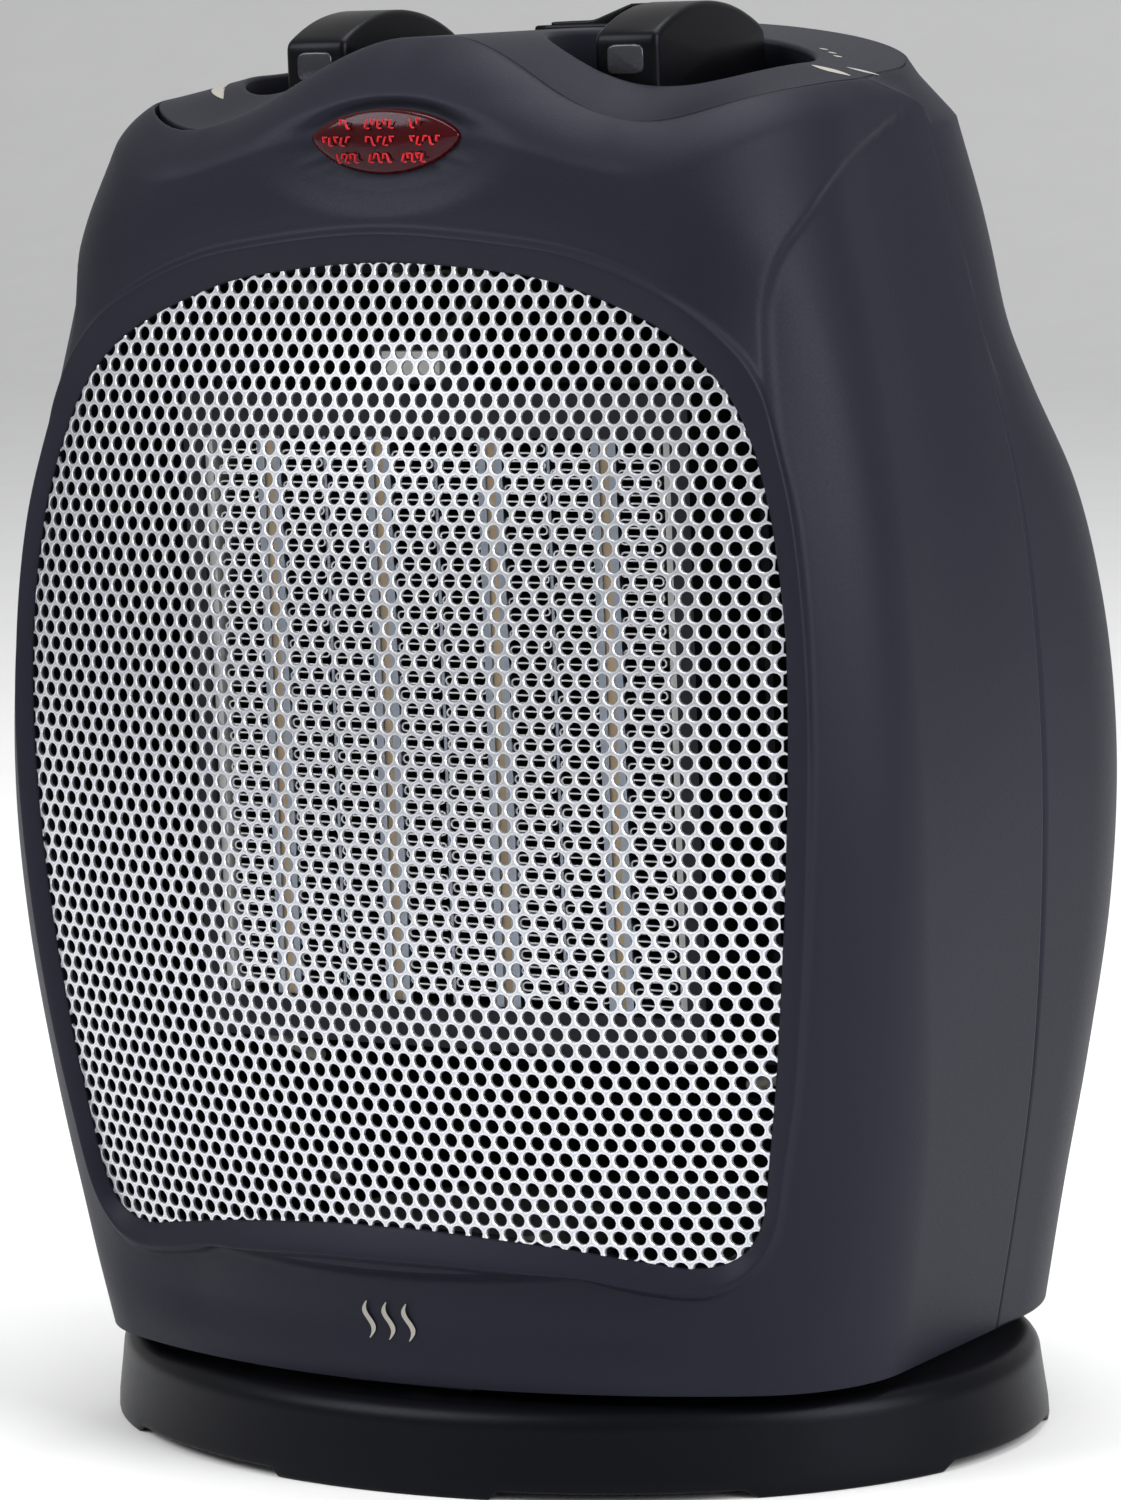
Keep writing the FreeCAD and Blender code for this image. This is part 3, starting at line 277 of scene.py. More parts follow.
def rounded_slab(outline, low, high, rounding, steps=5):
    """Slab between two levels with rounded rims, as points (u, v, level) and faces.

    Rows follow a quarter circle at each rim: the outline goes in by r(1 - sin a) while
    the level goes in by r(1 - cos a).  Both ends close on their middle.
    """
    turns = np.linspace(0, math.pi / 2, steps)
    rows = []
    for turn in turns:
        rows.append((rounding * (1 - math.sin(turn)), low + rounding * (1 - math.cos(turn))))
    for turn in turns[::-1]:
        rows.append((rounding * (1 - math.sin(turn)), high - rounding * (1 - math.cos(turn))))
    count = len(outline)
    layers = []
    for inset, level in rows:
        ring = outline_inset(outline, inset)
        layers.append(np.column_stack([ring, np.full(count, level)]))
    ends = [[[*layers[0][:, :2].mean(0), low]], [[*layers[-1][:, :2].mean(0), high]]]
    points = np.concatenate(layers + ends)
    faces = [grid_faces(len(rows), count, wrap=True)]
    first = len(rows) * count
    faces.append(fan_faces(np.arange(count)[::-1], first))
    faces.append(fan_faces(np.arange((len(rows) - 1) * count, len(rows) * count), first + 1))
    return points, faces


def join_parts(parts):
    """Joins (points, faces) pairs into one pair."""
    points, faces, start = [], [], 0
    for part_points, part_faces in parts:
        points.append(part_points)
        faces += [np.asarray(face) + start for face in part_faces]
        start += len(part_points)
    return np.concatenate(points), faces


# ------------------------------------------------------------------ form of the housing

# Plan section at each height: height, half width, crown of the front arc, radius of the
# front arc, radius of the front corner, crown of the rear arc.
STATIONS = np.array([
    (17.5, 81.5, -68.3, 150.0, 28.0, 71.8),
    (40.0, 86.0, -73.0, 155.0, 33.0, 73.5),
    (65.0, 90.2, -75.8, 168.0, 33.0, 78.2),
    (95.0, 93.0, -77.0, 192.0, 30.0, 85.3),
    (125.0, 94.0, -76.2, 221.0, 29.0, 87.3),
    (150.0, 93.0, -73.7, 254.0, 29.0, 84.3),
    (172.0, 90.6, -70.3, 290.0, 30.0, 77.4),
    (190.0, 86.9, -66.3, 330.0, 31.0, 67.4),
    (205.0, 83.4, -62.9, 370.0, 31.0, 63.0),
    (225.0, 78.2, -59.4, 350.0, 30.0, 61.6),
    (242.0, 73.5, -56.5, 300.0, 35.0, 60.0),
    (250.0, 71.8, -55.6, 270.0, 36.0, 59.0),
    (258.0, 70.4, -54.8, 260.0, 36.0, 58.0),
])
REAR_ROUND = 45.0
REAR_ARC = 160.0
BOTTOM = 18.4
SHOULDER = 241.0
# Share of half the section at the end of: front arc, front corner, side up to the parting
# line, rest of the side, rear corner, rear arc.
BREAKS = (0.0, 0.34, 0.46, 0.54, 0.60, 0.80, 1.0)
PARTING = BREAKS[3]


def plan_point(share, height, inset):
    """Point of the housing's plan section, at a share of the way from front to back.

    Share runs from -1 (rear middle, left) through 0 (front middle) to 1.  The half
    section is a front arc, a corner arc tangent to it and to the straight side, the side
    in two stretches that meet on the parting line, a rear corner arc and a rear arc.
    Inset moves every stretch inwards by the same amount.
    """
    share, height, inset = np.broadcast_arrays(np.asarray(share, float), height, inset)
    side = np.where(share < 0, -1.0, 1.0)
    s = np.abs(share)
    value = spline(STATIONS[:, 0], STATIONS[:, 1:], height)
    half = value[..., 0] - inset
    front = value[..., 1] + inset
    arc = value[..., 2] - inset
    corner = value[..., 3] - inset
    rear = value[..., 4] - inset
    rear_round = REAR_ROUND - inset
    rear_arc = REAR_ARC - inset
    centre = front + arc
    corner_y = centre - np.sqrt((arc - corner) ** 2 - (half - corner) ** 2)
    rear_centre = rear - rear_arc
    rear_y = rear_centre + np.sqrt((rear_arc - rear_round) ** 2 - (half - rear_round) ** 2)
    parting_y = 10.0 - 16.0 * smooth((height - SHOULDER) / 8.0)
    lean = np.arctan2(half - corner, centre - corner_y)
    rear_lean = np.arctan2(half - rear_round, rear_y - rear_centre)
    part = [np.clip((s - BREAKS[k]) / (BREAKS[k + 1] - BREAKS[k]), 0, 1) for k in range(6)]
    angle = lean * part[0]
    x = arc * np.sin(angle)
    y = centre - arc * np.cos(angle)
    turn = lean + (math.pi / 2 - lean) * part[1]
    on_corner = s > BREAKS[1]
    x = np.where(on_corner, half - corner + corner * np.sin(turn), x)
    y = np.where(on_corner, corner_y - corner * np.cos(turn), y)
    y = np.where(s > BREAKS[2], corner_y + (parting_y - corner_y) * part[2], y)
    y = np.where(s > BREAKS[3], parting_y + (rear_y - parting_y) * part[3], y)
    x = np.where(s > BREAKS[2], half, x)
    turn = math.pi / 2 - (math.pi / 2 - rear_lean) * part[4]
    on_rear = s > BREAKS[4]
    x = np.where(on_rear, half - rear_round + rear_round * np.sin(turn), x)
    y = np.where(on_rear, rear_y + rear_round * np.cos(turn), y)
    angle = rear_lean * (1 - part[5])
    on_back = s > BREAKS[5]
    x = np.where(on_back, rear_arc * np.sin(angle), x)
    y = np.where(on_back, rear_centre + rear_arc * np.cos(angle), y)
    return np.stack([side * x, y, height + 0.0 * x], -1)


def share_at(x, height):
    """Share of the section where its front or front corner reaches x."""
    value = spline(STATIONS[:, 0], STATIONS[:, 1:], height)
    half, _, arc, corner = (value[..., k] for k in range(4))
    lean = np.arctan2(half - corner, np.sqrt((arc - corner) ** 2 - (half - corner) ** 2))
    across = np.abs(x)
    on_arc = BREAKS[1] * np.arcsin(np.clip(across / arc, 0, 0.99)) / lean
    turn = np.arcsin(np.clip((across - half + corner) / corner, -0.99, 0.995))
    on_corner = BREAKS[1] + (BREAKS[2] - BREAKS[1]) * (turn - lean) / (math.pi / 2 - lean)
    return np.sign(x) * np.where(across < arc * np.sin(lean), on_arc, on_corner)


def crown(x, y):
    """Height of the top: a parabola across, with a valley either side of the hood.

    The valley grows from the hood outwards, eases off towards the side, and fades from
    the front edge to the dials.
    """
    across = np.abs(x)
    valley = body_size("valley_depth") * smooth((across - 4) / 38) - 10.5 * smooth((across - 44) / 32)
    fade = smooth((-4.0 - y) / 46.0)
    return body_size("hood_height") - 0.0021 * across ** 2 - valley * fade


SEAM_SHARE = (0.0, 0.09, 0.17, 0.25, 0.34, 0.40, 0.46, 0.54, 0.58, 0.80, 1.0)
SEAM_INSET = (16.5, 15.3, 12.6, 9.6, 7.6, 5.6, 4.0, 3.4, 5.4, 5.6, 6.2)
SEAM_ROUND = (17.5, 16.2, 13.5, 11.2, 9.6, 7.0, 5.6, 5.0, 8.0, 9.0, 10.0)


def seam_value(table, share):
    return spline(SEAM_SHARE, table, np.abs(share))[..., 0]


def seam_point(share, extra=0.0):
    """Point of the seam between the top cover and the shells."""
    plan = plan_point(share, 247.0, seam_value(SEAM_INSET, share) + extra)
    plan[..., 2] = crown(plan[..., 0], plan[..., 1])
    return plan


def shell_point(share, level, relief):
    """Point on the outside of the housing.

    level runs from 0 at the bottom edge to 1 at the seam.  Near the seam the wall turns
    in along a quarter ellipse, whose height and depth come from the seam tables.
    """
    top = seam_point(share)[..., 2]
    height = BOTTOM + level * (top - BOTTOM)
    rise = seam_value(SEAM_ROUND, share)
    q = np.clip((height - (top - rise)) / rise, 0, 1)
    round_in = 0.75 * q ** 1.7 + 0.25 * (1 - np.sqrt(np.maximum(1 - q * q, 0)))
    blend = smooth((np.abs(share) - PARTING) / 0.03)
    inset = seam_value(SEAM_INSET, share) * (round_in * (1 - blend) + q * blend)
    held = np.minimum(height, 247.0)
    point = plan_point(share, held, inset - relief(share, height))
    point[..., 2] = height
    return point


# ------------------------------------------------------------------ front shell

# Right half of the outlet's edge and of the lip's outer edge, top to bottom: x and z.
OUTLET_EDGE = [(0, 218.2), (27, 216), (41, 212.4), (54, 206.8), (62.3, 200.7), (68.3, 193.5), (73, 183),
               (76.3, 170.3), (78.6, 152), (78.8, 130), (77.3, 105), (74.6, 80), (71.8, 62), (69.6, 50.5),
               (65.4, 44), (57.9, 41.8), (48.1, 43.2), (32, 45.6), (12, 47.3), (0, 47.5)]
OUTLET_LIP = [(0, 223.3), (29, 220.8), (44, 217.3), (58, 210.9), (67, 204), (72.6, 196.5), (77.3, 184),
              (80.6, 170.5), (82.6, 152), (82.8, 130), (81.3, 104), (78.4, 78), (75, 60.5), (72, 48),
              (67, 41), (60.4, 37.4), (51, 37.6), (36, 40.4), (16, 41.9), (0, 42.1)]
LENS_HEIGHT = 240.2       # line through the lens's two points
LENS_HALF = 15.4
LENS_RISE = 4.9
LENS_FALL = 6.6


def closed_outline(half_outline, count):
    """Closed outline (x, z) from its right half, clockwise from the top, evenly indexed."""
    right = np.array(half_outline, float)
    left = right[-2:0:-1] * [-1, 1]
    knots = np.concatenate([right, left])
    at = np.arange(count) * len(knots) / count
    return spline(None, knots, at, periodic=True)


DISH_HEIGHT = 238.5        # middle of the shallow dish round the lamp
DISH_HALF = (28.5, 12.8)
DISH_DEPTH = 1.4
POCKET_DEPTH = 0.9
PANEL_DEPTH = 1.5
SCOOP_DEPTH = 2.4
SCOOP_TOP = 39.6
# Share of the section where the side panel's arched edge runs, at each height.
CREASE_HEIGHT = (120, 160, 203, 211, 218.5, 226, 233.7, 238, 240.7, 243, 250)
CREASE_SHARE = (0.372, 0.376, 0.385, 0.389, 0.40, 0.424, 0.455, 0.485, 0.51, 0.54, 0.60)


def front_relief(share, height):
    """How far the front stands proud of the plain form.

    The sum of: a shallow oval dish with a pocket round the lamp lens, a side panel that
    steps back behind an arched crease at each shoulder, and a scoop under the outlet.
    """
    point = plan_point(share, np.minimum(height, 247.0), 0.0)
    x = point[..., 0]
    dish = np.hypot(x / DISH_HALF[0], (height - DISH_HEIGHT) / DISH_HALF[1])
    above = smooth((height - 240.0) / 10.0)
    relief = -DISH_DEPTH * (1 - smooth((dish - 0.55 + 0.2 * above) / (0.42 - 0.1 * above)))
    pocket = lens_measure(x, height, 0.4)
    relief = relief - POCKET_DEPTH * (1 - smooth(pocket / 2.4))
    crease = spline(CREASE_HEIGHT, CREASE_SHARE, height)[..., 0]
    panel = smooth((np.abs(share) - crease) / 0.009) * smooth((height - 105.0) / 95.0)
    relief = relief - PANEL_DEPTH * panel * (1 - smooth((np.abs(share) - 0.475) / 0.06))
    scoop = smooth((SCOOP_TOP - height + 0.0012 * x * x) / 3.0) * smooth((height - 19.5) / 11.0)
    relief = relief - SCOOP_DEPTH * scoop * (1 - smooth((np.abs(x) - 44.0) / 24.0))
    return relief


def lens_edge(across):
    """Heights of the lens's upper and lower edge above the line through its two points.

    Both fall as a power of 1 - x^2, the upper one shallow and the lower one deep.
    """
    room = np.maximum(1 - across ** 2, 0)
    return LENS_RISE * room ** 0.68, -LENS_FALL * room ** 0.68


def lens_measure(x, height, margin):
    """Distance outside the lens's outline grown by a margin, along the height; below 0 inside."""
    across = np.clip(np.abs(x) / (LENS_HALF + margin), 0, 1.3)
    rise, fall = lens_edge(across)
    over = height - LENS_HEIGHT - rise - margin
    under = LENS_HEIGHT + fall - margin - height
    beyond = 1.2 * (np.abs(x) - LENS_HALF - margin)
    return np.maximum(np.maximum(over, under), beyond)


def front_shell_grid():
    """Ring-shaped grid from the outlet's edge, over the lip, out to the shell's own edges.

    Each spoke starts on the outlet's edge, climbs the lip, and runs straight, in the
    unrolled section, to the border of the panel: bottom edge, parting lines and seam.
    """
    count = 480
    edge = closed_outline(OUTLET_EDGE, count)
    lip = closed_outline(OUTLET_LIP, count)
    depth = body_size("lip_depth")
    top = seam_point(share_at(lip[:, 0], lip[:, 1]))[:, 2]
    a = share_at(lip[:, 0], lip[:, 1]) / PARTING
    b = 2 * (lip[:, 1] - BOTTOM) / (top - BOTTOM) - 1
    middle = 0.02
    reach = np.maximum(np.abs(a), np.abs(b - middle) / (1 - middle * np.sign(b - middle)))
    border_a = np.clip(a / reach, -1, 1)
    border_b = np.clip(middle + (b - middle) / reach, -1, 1)
    for sign_a in (-1, 1):
        for sign_b in (-1, 1):
            nearest = np.argmin((border_a - sign_a) ** 2 + (border_b - sign_b) ** 2)
            border_a[nearest], border_b[nearest] = sign_a, sign_b
    rows = []
    for back in (depth + 2.4, depth + 0.3):
        rows.append(outlet_point(edge, back))
    lip_rows = 9
    for k in range(lip_rows):
        w = k / (lip_rows - 0.35)
        ring = edge + (lip - edge) * w
        rows.append(outlet_point(ring, depth * (1 - w) ** 1.15))
    near = [0.0, 0.003, 0.007, 0.012, 0.018, 0.025]
    spoke = np.concatenate([near, np.linspace(0.035, 0.97, 72), [0.982, 0.991, 0.997, 1.0]])
    share = (a + (border_a - a) * spoke[:, None]) * PARTING
    level = (b + (border_b - b) * spoke[:, None] + 1) / 2
    outer = shell_point(share, level, front_relief)
    outward = grid_normals(outer, wrap=True)
    away = np.linalg.norm(outer - outer[0], axis=-1)[..., None]
    valley = smooth(away / 1.9) * (1 - smooth((away - 4.0) / 15.0))
    outward *= np.sign(np.sum(outward * (outer - [0, 20, 130]), -1, keepdims=True))
    outer = outer - 1.0 * valley * outward
    grid = np.concatenate([np.array(rows), outer])
    return grid


def outlet_point(ring, back):
    """Point of the plain front form at (x, z), set back along Y."""
    share = share_at(ring[..., 0], ring[..., 1])
    point = plan_point(share, ring[..., 1], 0.0)
    point[..., 1] += back
    return point


def add_return(grid, normals, depths):
    """Adds rows behind the last row, each a step further inwards along the normals."""
    extra = [grid[-1] - normals[-1] * depth for depth in depths]
    return np.concatenate([grid, np.array(extra)])


class HEATER_OT_front_shell(bpy.types.Operator):
    """Front shell: fascia with the outlet's lip, the lamp's dish, side panels and chin."""

    bl_idname = "heater.front_shell"
    bl_label = "Front shell"

    def execute(self, context):
        grid = front_shell_grid()
        normals = grid_normals(grid, wrap=True)
        middle = np.array([0.0, 20.0, 130.0])
        if np.sum(normals[-2] * (grid[-2] - middle)) < 0:
            normals = -normals
        grid = add_return(grid, normals, (0.5, body_size("wall")))
        rows, columns = grid.shape[:2]
        make_piece("front_shell_skin", grid.reshape(-1, 3), [grid_faces(rows, columns, wrap=True)],
                   shell_plastic(), "housing", outward=middle,
                   replaces=("front_shell",))
        return {"FINISHED"}


# ------------------------------------------------------------------ rear shell

SLOT_PITCH = 4.6
SLOT_SHARE = 0.70
SLOT_COUNT = 20
SLOT_BANDS = ((82.0, 109.0), (111.5, 137.0), (139.5, 166.0))
WAIST = 204.0              # below it the rows are level, above it they close on the seam


def rear_relief(share, height):
    """A soft waist under the shoulder, with the belly swelling out below it."""
    waist = np.exp(-((height - 201.0) / 9.0) ** 2) * smooth((np.abs(share) - 0.545) / 0.05)
    return -0.7 * waist


class HEATER_OT_rear_shell(bpy.types.Operator):
    """Rear shell: belly, shoulder chamfer and the slotted air inlet, with its wall."""

    bl_idname = "heater.rear_shell"
    bl_label = "Rear shell"

    def execute(self, context):
        arc_angle = np.arcsin(np.arange(-SLOT_COUNT, SLOT_COUNT + 1) * SLOT_PITCH / 2 / REAR_ARC)
        half_turn = math.atan2(49.0, 104.0)
        centres = arc_angle[1::2] / half_turn * (BREAKS[6] - BREAKS[5])
        half_slot = 0.5 * SLOT_SHARE * (centres[1] - centres[0])
        edges = np.sort(np.concatenate([centres - half_slot, centres + half_slot]))
        slot_columns = np.sort(np.concatenate([edges, centres]))
        reach = BREAKS[6] - PARTING
        outer = np.linspace(abs(edges[0]) + 0.012, reach, 44)
        columns = np.concatenate([-outer[::-1], slot_columns, outer])
        columns[0], columns[-1] = -reach, reach
        body = np.sort(np.concatenate([[BOTTOM, 18.9], np.linspace(20.0, WAIST, 120), np.ravel(SLOT_BANDS)]))
        neck = np.linspace(0.03, 1.0, 44)
        share_sign = np.where(columns > 0, -1.0, 1.0)
        share = share_sign * (1.0 - np.abs(columns))
        top = seam_point(share)[:, 2]
        heights = np.concatenate([body[:, None] + 0 * top, WAIST + neck[:, None] * (top - WAIST)])
        levels = (heights - BOTTOM) / (top - BOTTOM)
        grid = shell_point(share[None, :] + 0 * levels, levels, rear_relief)
        rows, count = grid.shape[:2]
        middle = (columns[1:] + columns[:-1]) / 2
        in_slot = np.min(np.abs(middle[:, None] - centres[None, :]), axis=1) < half_slot
        row_height = (grid[1:, count // 2, 2] + grid[:-1, count // 2, 2]) / 2
        in_band = np.zeros(rows - 1, bool)
        for low, high in SLOT_BANDS:
            in_band |= (row_height > low) & (row_height < high)
        quads = grid_faces(rows, count).reshape(rows - 1, count - 1, 4)
        quads = quads[~(in_band[:, None] & in_slot[None, :])]
        piece = make_piece("rear_shell_skin", grid.reshape(-1, 3), [quads], shell_plastic(), "housing",
                           outward=(0, 20, 130), replaces=("rear_shell",))
        wall = piece.modifiers.new("wall", "SOLIDIFY")
        wall.thickness = bpy.context.scene.heater_body.wall
        wall.offset = -1.0
        return {"FINISHED"}


# ------------------------------------------------------------------ top cover

WELL = (32.7, -5.0, 24.0)
WELL_FLOOR = 242.0


def cover_half(side):
    """Half of the top cover as a ring-shaped grid round its dial well.

    Spokes run from the well's middle over its floor, up its wall, over the rounded rim
    and out to the border, which is the seam and the middle line of the cover.
    """
    x0, y0, radius = WELL
    gap = body_size("seam_gap")
    share = np.linspace(0, 1, 241)
    seam = seam_point(share, gap)
    line_y = np.linspace(seam[-1, 1], seam[0, 1], 121)[1:-1]
    line = np.column_stack([np.zeros_like(line_y), line_y])
    border = np.concatenate([seam[:, :2], line])
    count = len(border)
    angle = np.unwrap(np.arctan2(border[:, 1] - y0, border[:, 0] - x0))
    circle = np.column_stack([np.cos(angle), np.sin(angle)])
    rows = [np.column_stack([x0 + circle[:, 0] * r, y0 + circle[:, 1] * r,
                             np.full(count, WELL_FLOOR)]) for r in (0.0, 8.0, 16.0, radius - 1.4)]
    rim = np.column_stack([x0 + circle[:, 0] * radius, y0 + circle[:, 1] * radius])
    rim_z = crown(rim[:, 0], rim[:, 1])
    for step in (0.0, 0.5, 1.0):
        rows.append(np.column_stack([rim, WELL_FLOOR + 0.6 + (rim_z - 1.6 - WELL_FLOOR) * step]))
    round_r = 1.1
    for turn in np.linspace(0, math.pi / 2, 6)[1:]:
        r = radius + round_r * (1 - math.cos(turn))
        ring = np.column_stack([x0 + circle[:, 0] * r, y0 + circle[:, 1] * r])
        drop = round_r * (1 - math.sin(turn))
        rows.append(np.column_stack([ring, crown(ring[:, 0], ring[:, 1]) - drop]))
    start = rows[-1][:, :2]
    for step in np.concatenate([np.linspace(0.03, 0.96, 34), [0.985, 1.0]]):
        ring = start + (border - start) * step
        rows.append(np.column_stack([ring, crown(ring[:, 0], ring[:, 1])]))
    for drop in (0.5, 2.4):
        last = rows[-1].copy()
        last[:, 2] = crown(border[:, 0], border[:, 1]) - drop
        rows.append(last)
    grid = np.array(rows)
    grid[..., 0] *= side
    faces = grid_faces(len(grid), count, wrap=True)
    line_faces = np.arange(len(faces)) % count >= 240
    keep = ~(line_faces & (np.arange(len(faces)) // count >= len(grid) - 3))
    faces = faces[keep]
    if side < 0:
        faces = faces[:, ::-1]
    return grid.reshape(-1, 3), [faces]


class HEATER_OT_top_cover(bpy.types.Operator):
    """Top cover: crowned plate with a valley each side and two dial wells."""

    bl_idname = "heater.top_cover"
    bl_label = "Top cover"

    def execute(self, context):
        points, faces = join_parts([cover_half(1), cover_half(-1)])
        make_piece("top_cover_skin", points, faces, shell_plastic(), "housing",
                   outward=(0, 5, 150), replaces=("top_cover",))
        return {"FINISHED"}


# ------------------------------------------------------------------ outlet mesh

def inside_outline(points, outline):
    """True where a 2D point lies inside a closed outline, by counting crossings."""
    x, z = points[:, 0][:, None], points[:, 1][:, None]
    x1, z1 = outline[:, 0][None], outline[:, 1][None]
    x2, z2 = np.roll(outline[:, 0], -1)[None], np.roll(outline[:, 1], -1)[None]
    straddle = (z1 > z) != (z2 > z)
    cross = (x2 - x1) * (z - z1) / np.where(z2 == z1, 1e-9, z2 - z1) + x1
    return (np.sum(straddle & (x < cross), axis=1) % 2) == 1


class HEATER_OT_outlet_mesh(bpy.types.Operator):
    """Perforated outlet sheet: round holes on a triangular grid, bent to the front's curve."""

    bl_idname = "heater.outlet_mesh"
    bl_label = "Outlet mesh"

    def execute(self, context):
        """Each cell is a hexagon round one hole, in three rings of twelve quads.

        Ring one is the flat face between the hexagon and the hole's rim, ring two the
        punched edge, ring three the hole's wall.
        """
        pitch = outlet_size("hole_pitch")
        spacing = pitch * math.sqrt(3) / 2
        rows = np.arange(-2, 70)
        columns = np.arange(-30, 31)
        cx = (columns[None, :] + 0.5 * (rows[:, None] % 2)) * pitch + 0 * rows[:, None]
        cz = 36.0 + rows[:, None] * spacing + 0 * columns[None, :]
        centres = np.column_stack([cx.ravel(), cz.ravel()])
        outline = closed_outline(OUTLET_EDGE, 240)
        outline = outline + (outline - [0, 130]) * 0.012
        centres = centres[inside_outline(centres, outline)]
        corner = pitch / math.sqrt(3)
        hexagon = np.where(np.arange(12) % 2 == 0, corner, pitch / 2)
        turn = np.arange(12) * math.pi / 6 + math.pi / 2
        direction = np.column_stack([np.cos(turn), np.sin(turn)])
        hole = outlet_size("hole_width") / 2
        rings = ((hexagon, 0.0), (np.full(12, hole + 0.10), 0.0),
                 (np.full(12, hole - 0.02), 0.16), (np.full(12, hole - 0.02), outlet_size("sheet_thickness")))
        layers = []
        for reach, back in rings:
            place = centres[:, None, :] + direction[None] * reach[None, :, None]
            point = outlet_point(place, body_size("lip_depth"))
            point[..., 1] += back
            layers.append(point)
        points = np.stack(layers, 1).reshape(-1, 3)
        cell = grid_faces(4, 12, wrap=True)
        faces = (cell[None] + (np.arange(len(centres)) * 48)[:, None, None]).reshape(-1, 4)
        # A point attribute paints a highlight round each hole's rim and shade on the flat between the holes.
        make_piece("outlet_mesh_sheet", points, [faces], outlet_metal(), "housing",
                   outward=(0, 60, 130), replaces=("outlet_mesh",), flat=True,
                   shade=("hole_rim", lambda place: rim_highlight_share(place, centres, hole)))
        return {"FINISHED"}


def rim_highlight_share(points, centres, hole):
    """Painted highlight: 1 at the rim of a hole, falling to 0 where three cells meet."""
    spacing = outlet_size("hole_pitch")
    row = np.round((points[:, 2] - centres[0, 1]) / (spacing * math.sqrt(3) / 2))
    best = np.full(len(points), 1e9)
    for step in (-1, 0, 1):
        level = centres[0, 1] + (row + step) * spacing * math.sqrt(3) / 2
        shift = centres[0, 0] + 0.5 * spacing * ((row + step) % 2)
        column = np.round((points[:, 0] - shift) / spacing)
        away = np.hypot(points[:, 0] - shift - column * spacing, points[:, 2] - level)
        best = np.minimum(best, away)
    return 1 - smooth((best - hole - 0.12) / 0.3)


# ------------------------------------------------------------------ heating element

class HEATER_OT_heat_fins(bpy.types.Operator):
    """Folded fins: one thin ribbon per column, folded back and forth from end to end."""

    bl_idname = "heater.heat_fins"
    bl_label = "Heat fins"

    def execute(self, context):
        """The ribbon's path runs across the column, turns half a circle, and runs back."""
        low, high = node_box("heat_fins")
        pitch = outlet_size("fin_pitch")
        bars = node_box("ptc_ceramics")
        spacing = (bars[1][0] - bars[0][0] - 2.0) / 3
        thickness = 0.30
        parts = []
        walls = int((high[2] - low[2]) / pitch)
        for index in range(4):
            for side in (-1, 1):
                centre = (index - 1.5) * spacing + side * 6.9
                parts.append(folded_ribbon(centre, 4.25, low, high, pitch, walls, thickness))
        points, faces = join_parts(parts)
        # A point attribute paints a highlight on the ribbons' front edges; the walls behind them get painted
        # shade.
        make_piece("heat_fin_ribbons", points, faces, fin_foil(), "housing",
                   replaces=("heat_fins",), shade=("front_edge", lambda place: place[:, 1] < low[1] + 0.3))
        return {"FINISHED"}


def folded_ribbon(centre, half, low, high, pitch, walls, thickness):
    """Ribbon between (x, z) path points: straight walls with half-circle turns between."""
    turn = np.linspace(-math.pi / 2, math.pi / 2, 6)
    bend = pitch / 2
    path = []
    for wall in range(walls):
        side = 1 if wall % 2 == 0 else -1
        z = low[2] + pitch * (wall + 0.5)
        x = centre + side * (half - bend)
        arc = np.column_stack([x + side * bend * np.cos(turn), z + bend + bend * np.sin(turn)])
        path.append([[centre - side * (half - bend) * 0.9, z]])
        path.append(arc)
    path = np.concatenate(path)
    ahead = np.gradient(path, axis=0)
    ahead /= np.linalg.norm(ahead, axis=1, keepdims=True)
    normal = np.column_stack([-ahead[:, 1], ahead[:, 0]]) * thickness / 2
    count = len(path)
    front, back = low[1], high[1]
    # Ring a little behind the front edge, where the painted highlight ends and the painted shade of the walls
    # begins.
    lit = front + 0.35
    rings = [np.column_stack([side[:, 0], np.full(count, y), side[:, 1]])
             for side, y in ((path + normal, front), (path - normal, front), (path - normal, lit),
                             (path - normal, back), (path + normal, back), (path + normal, lit))]
    points = np.stack(rings, 1).reshape(-1, 3)
    return points, [grid_faces(count, 6, wrap=True)]


# ------------------------------------------------------------------ lamp lens

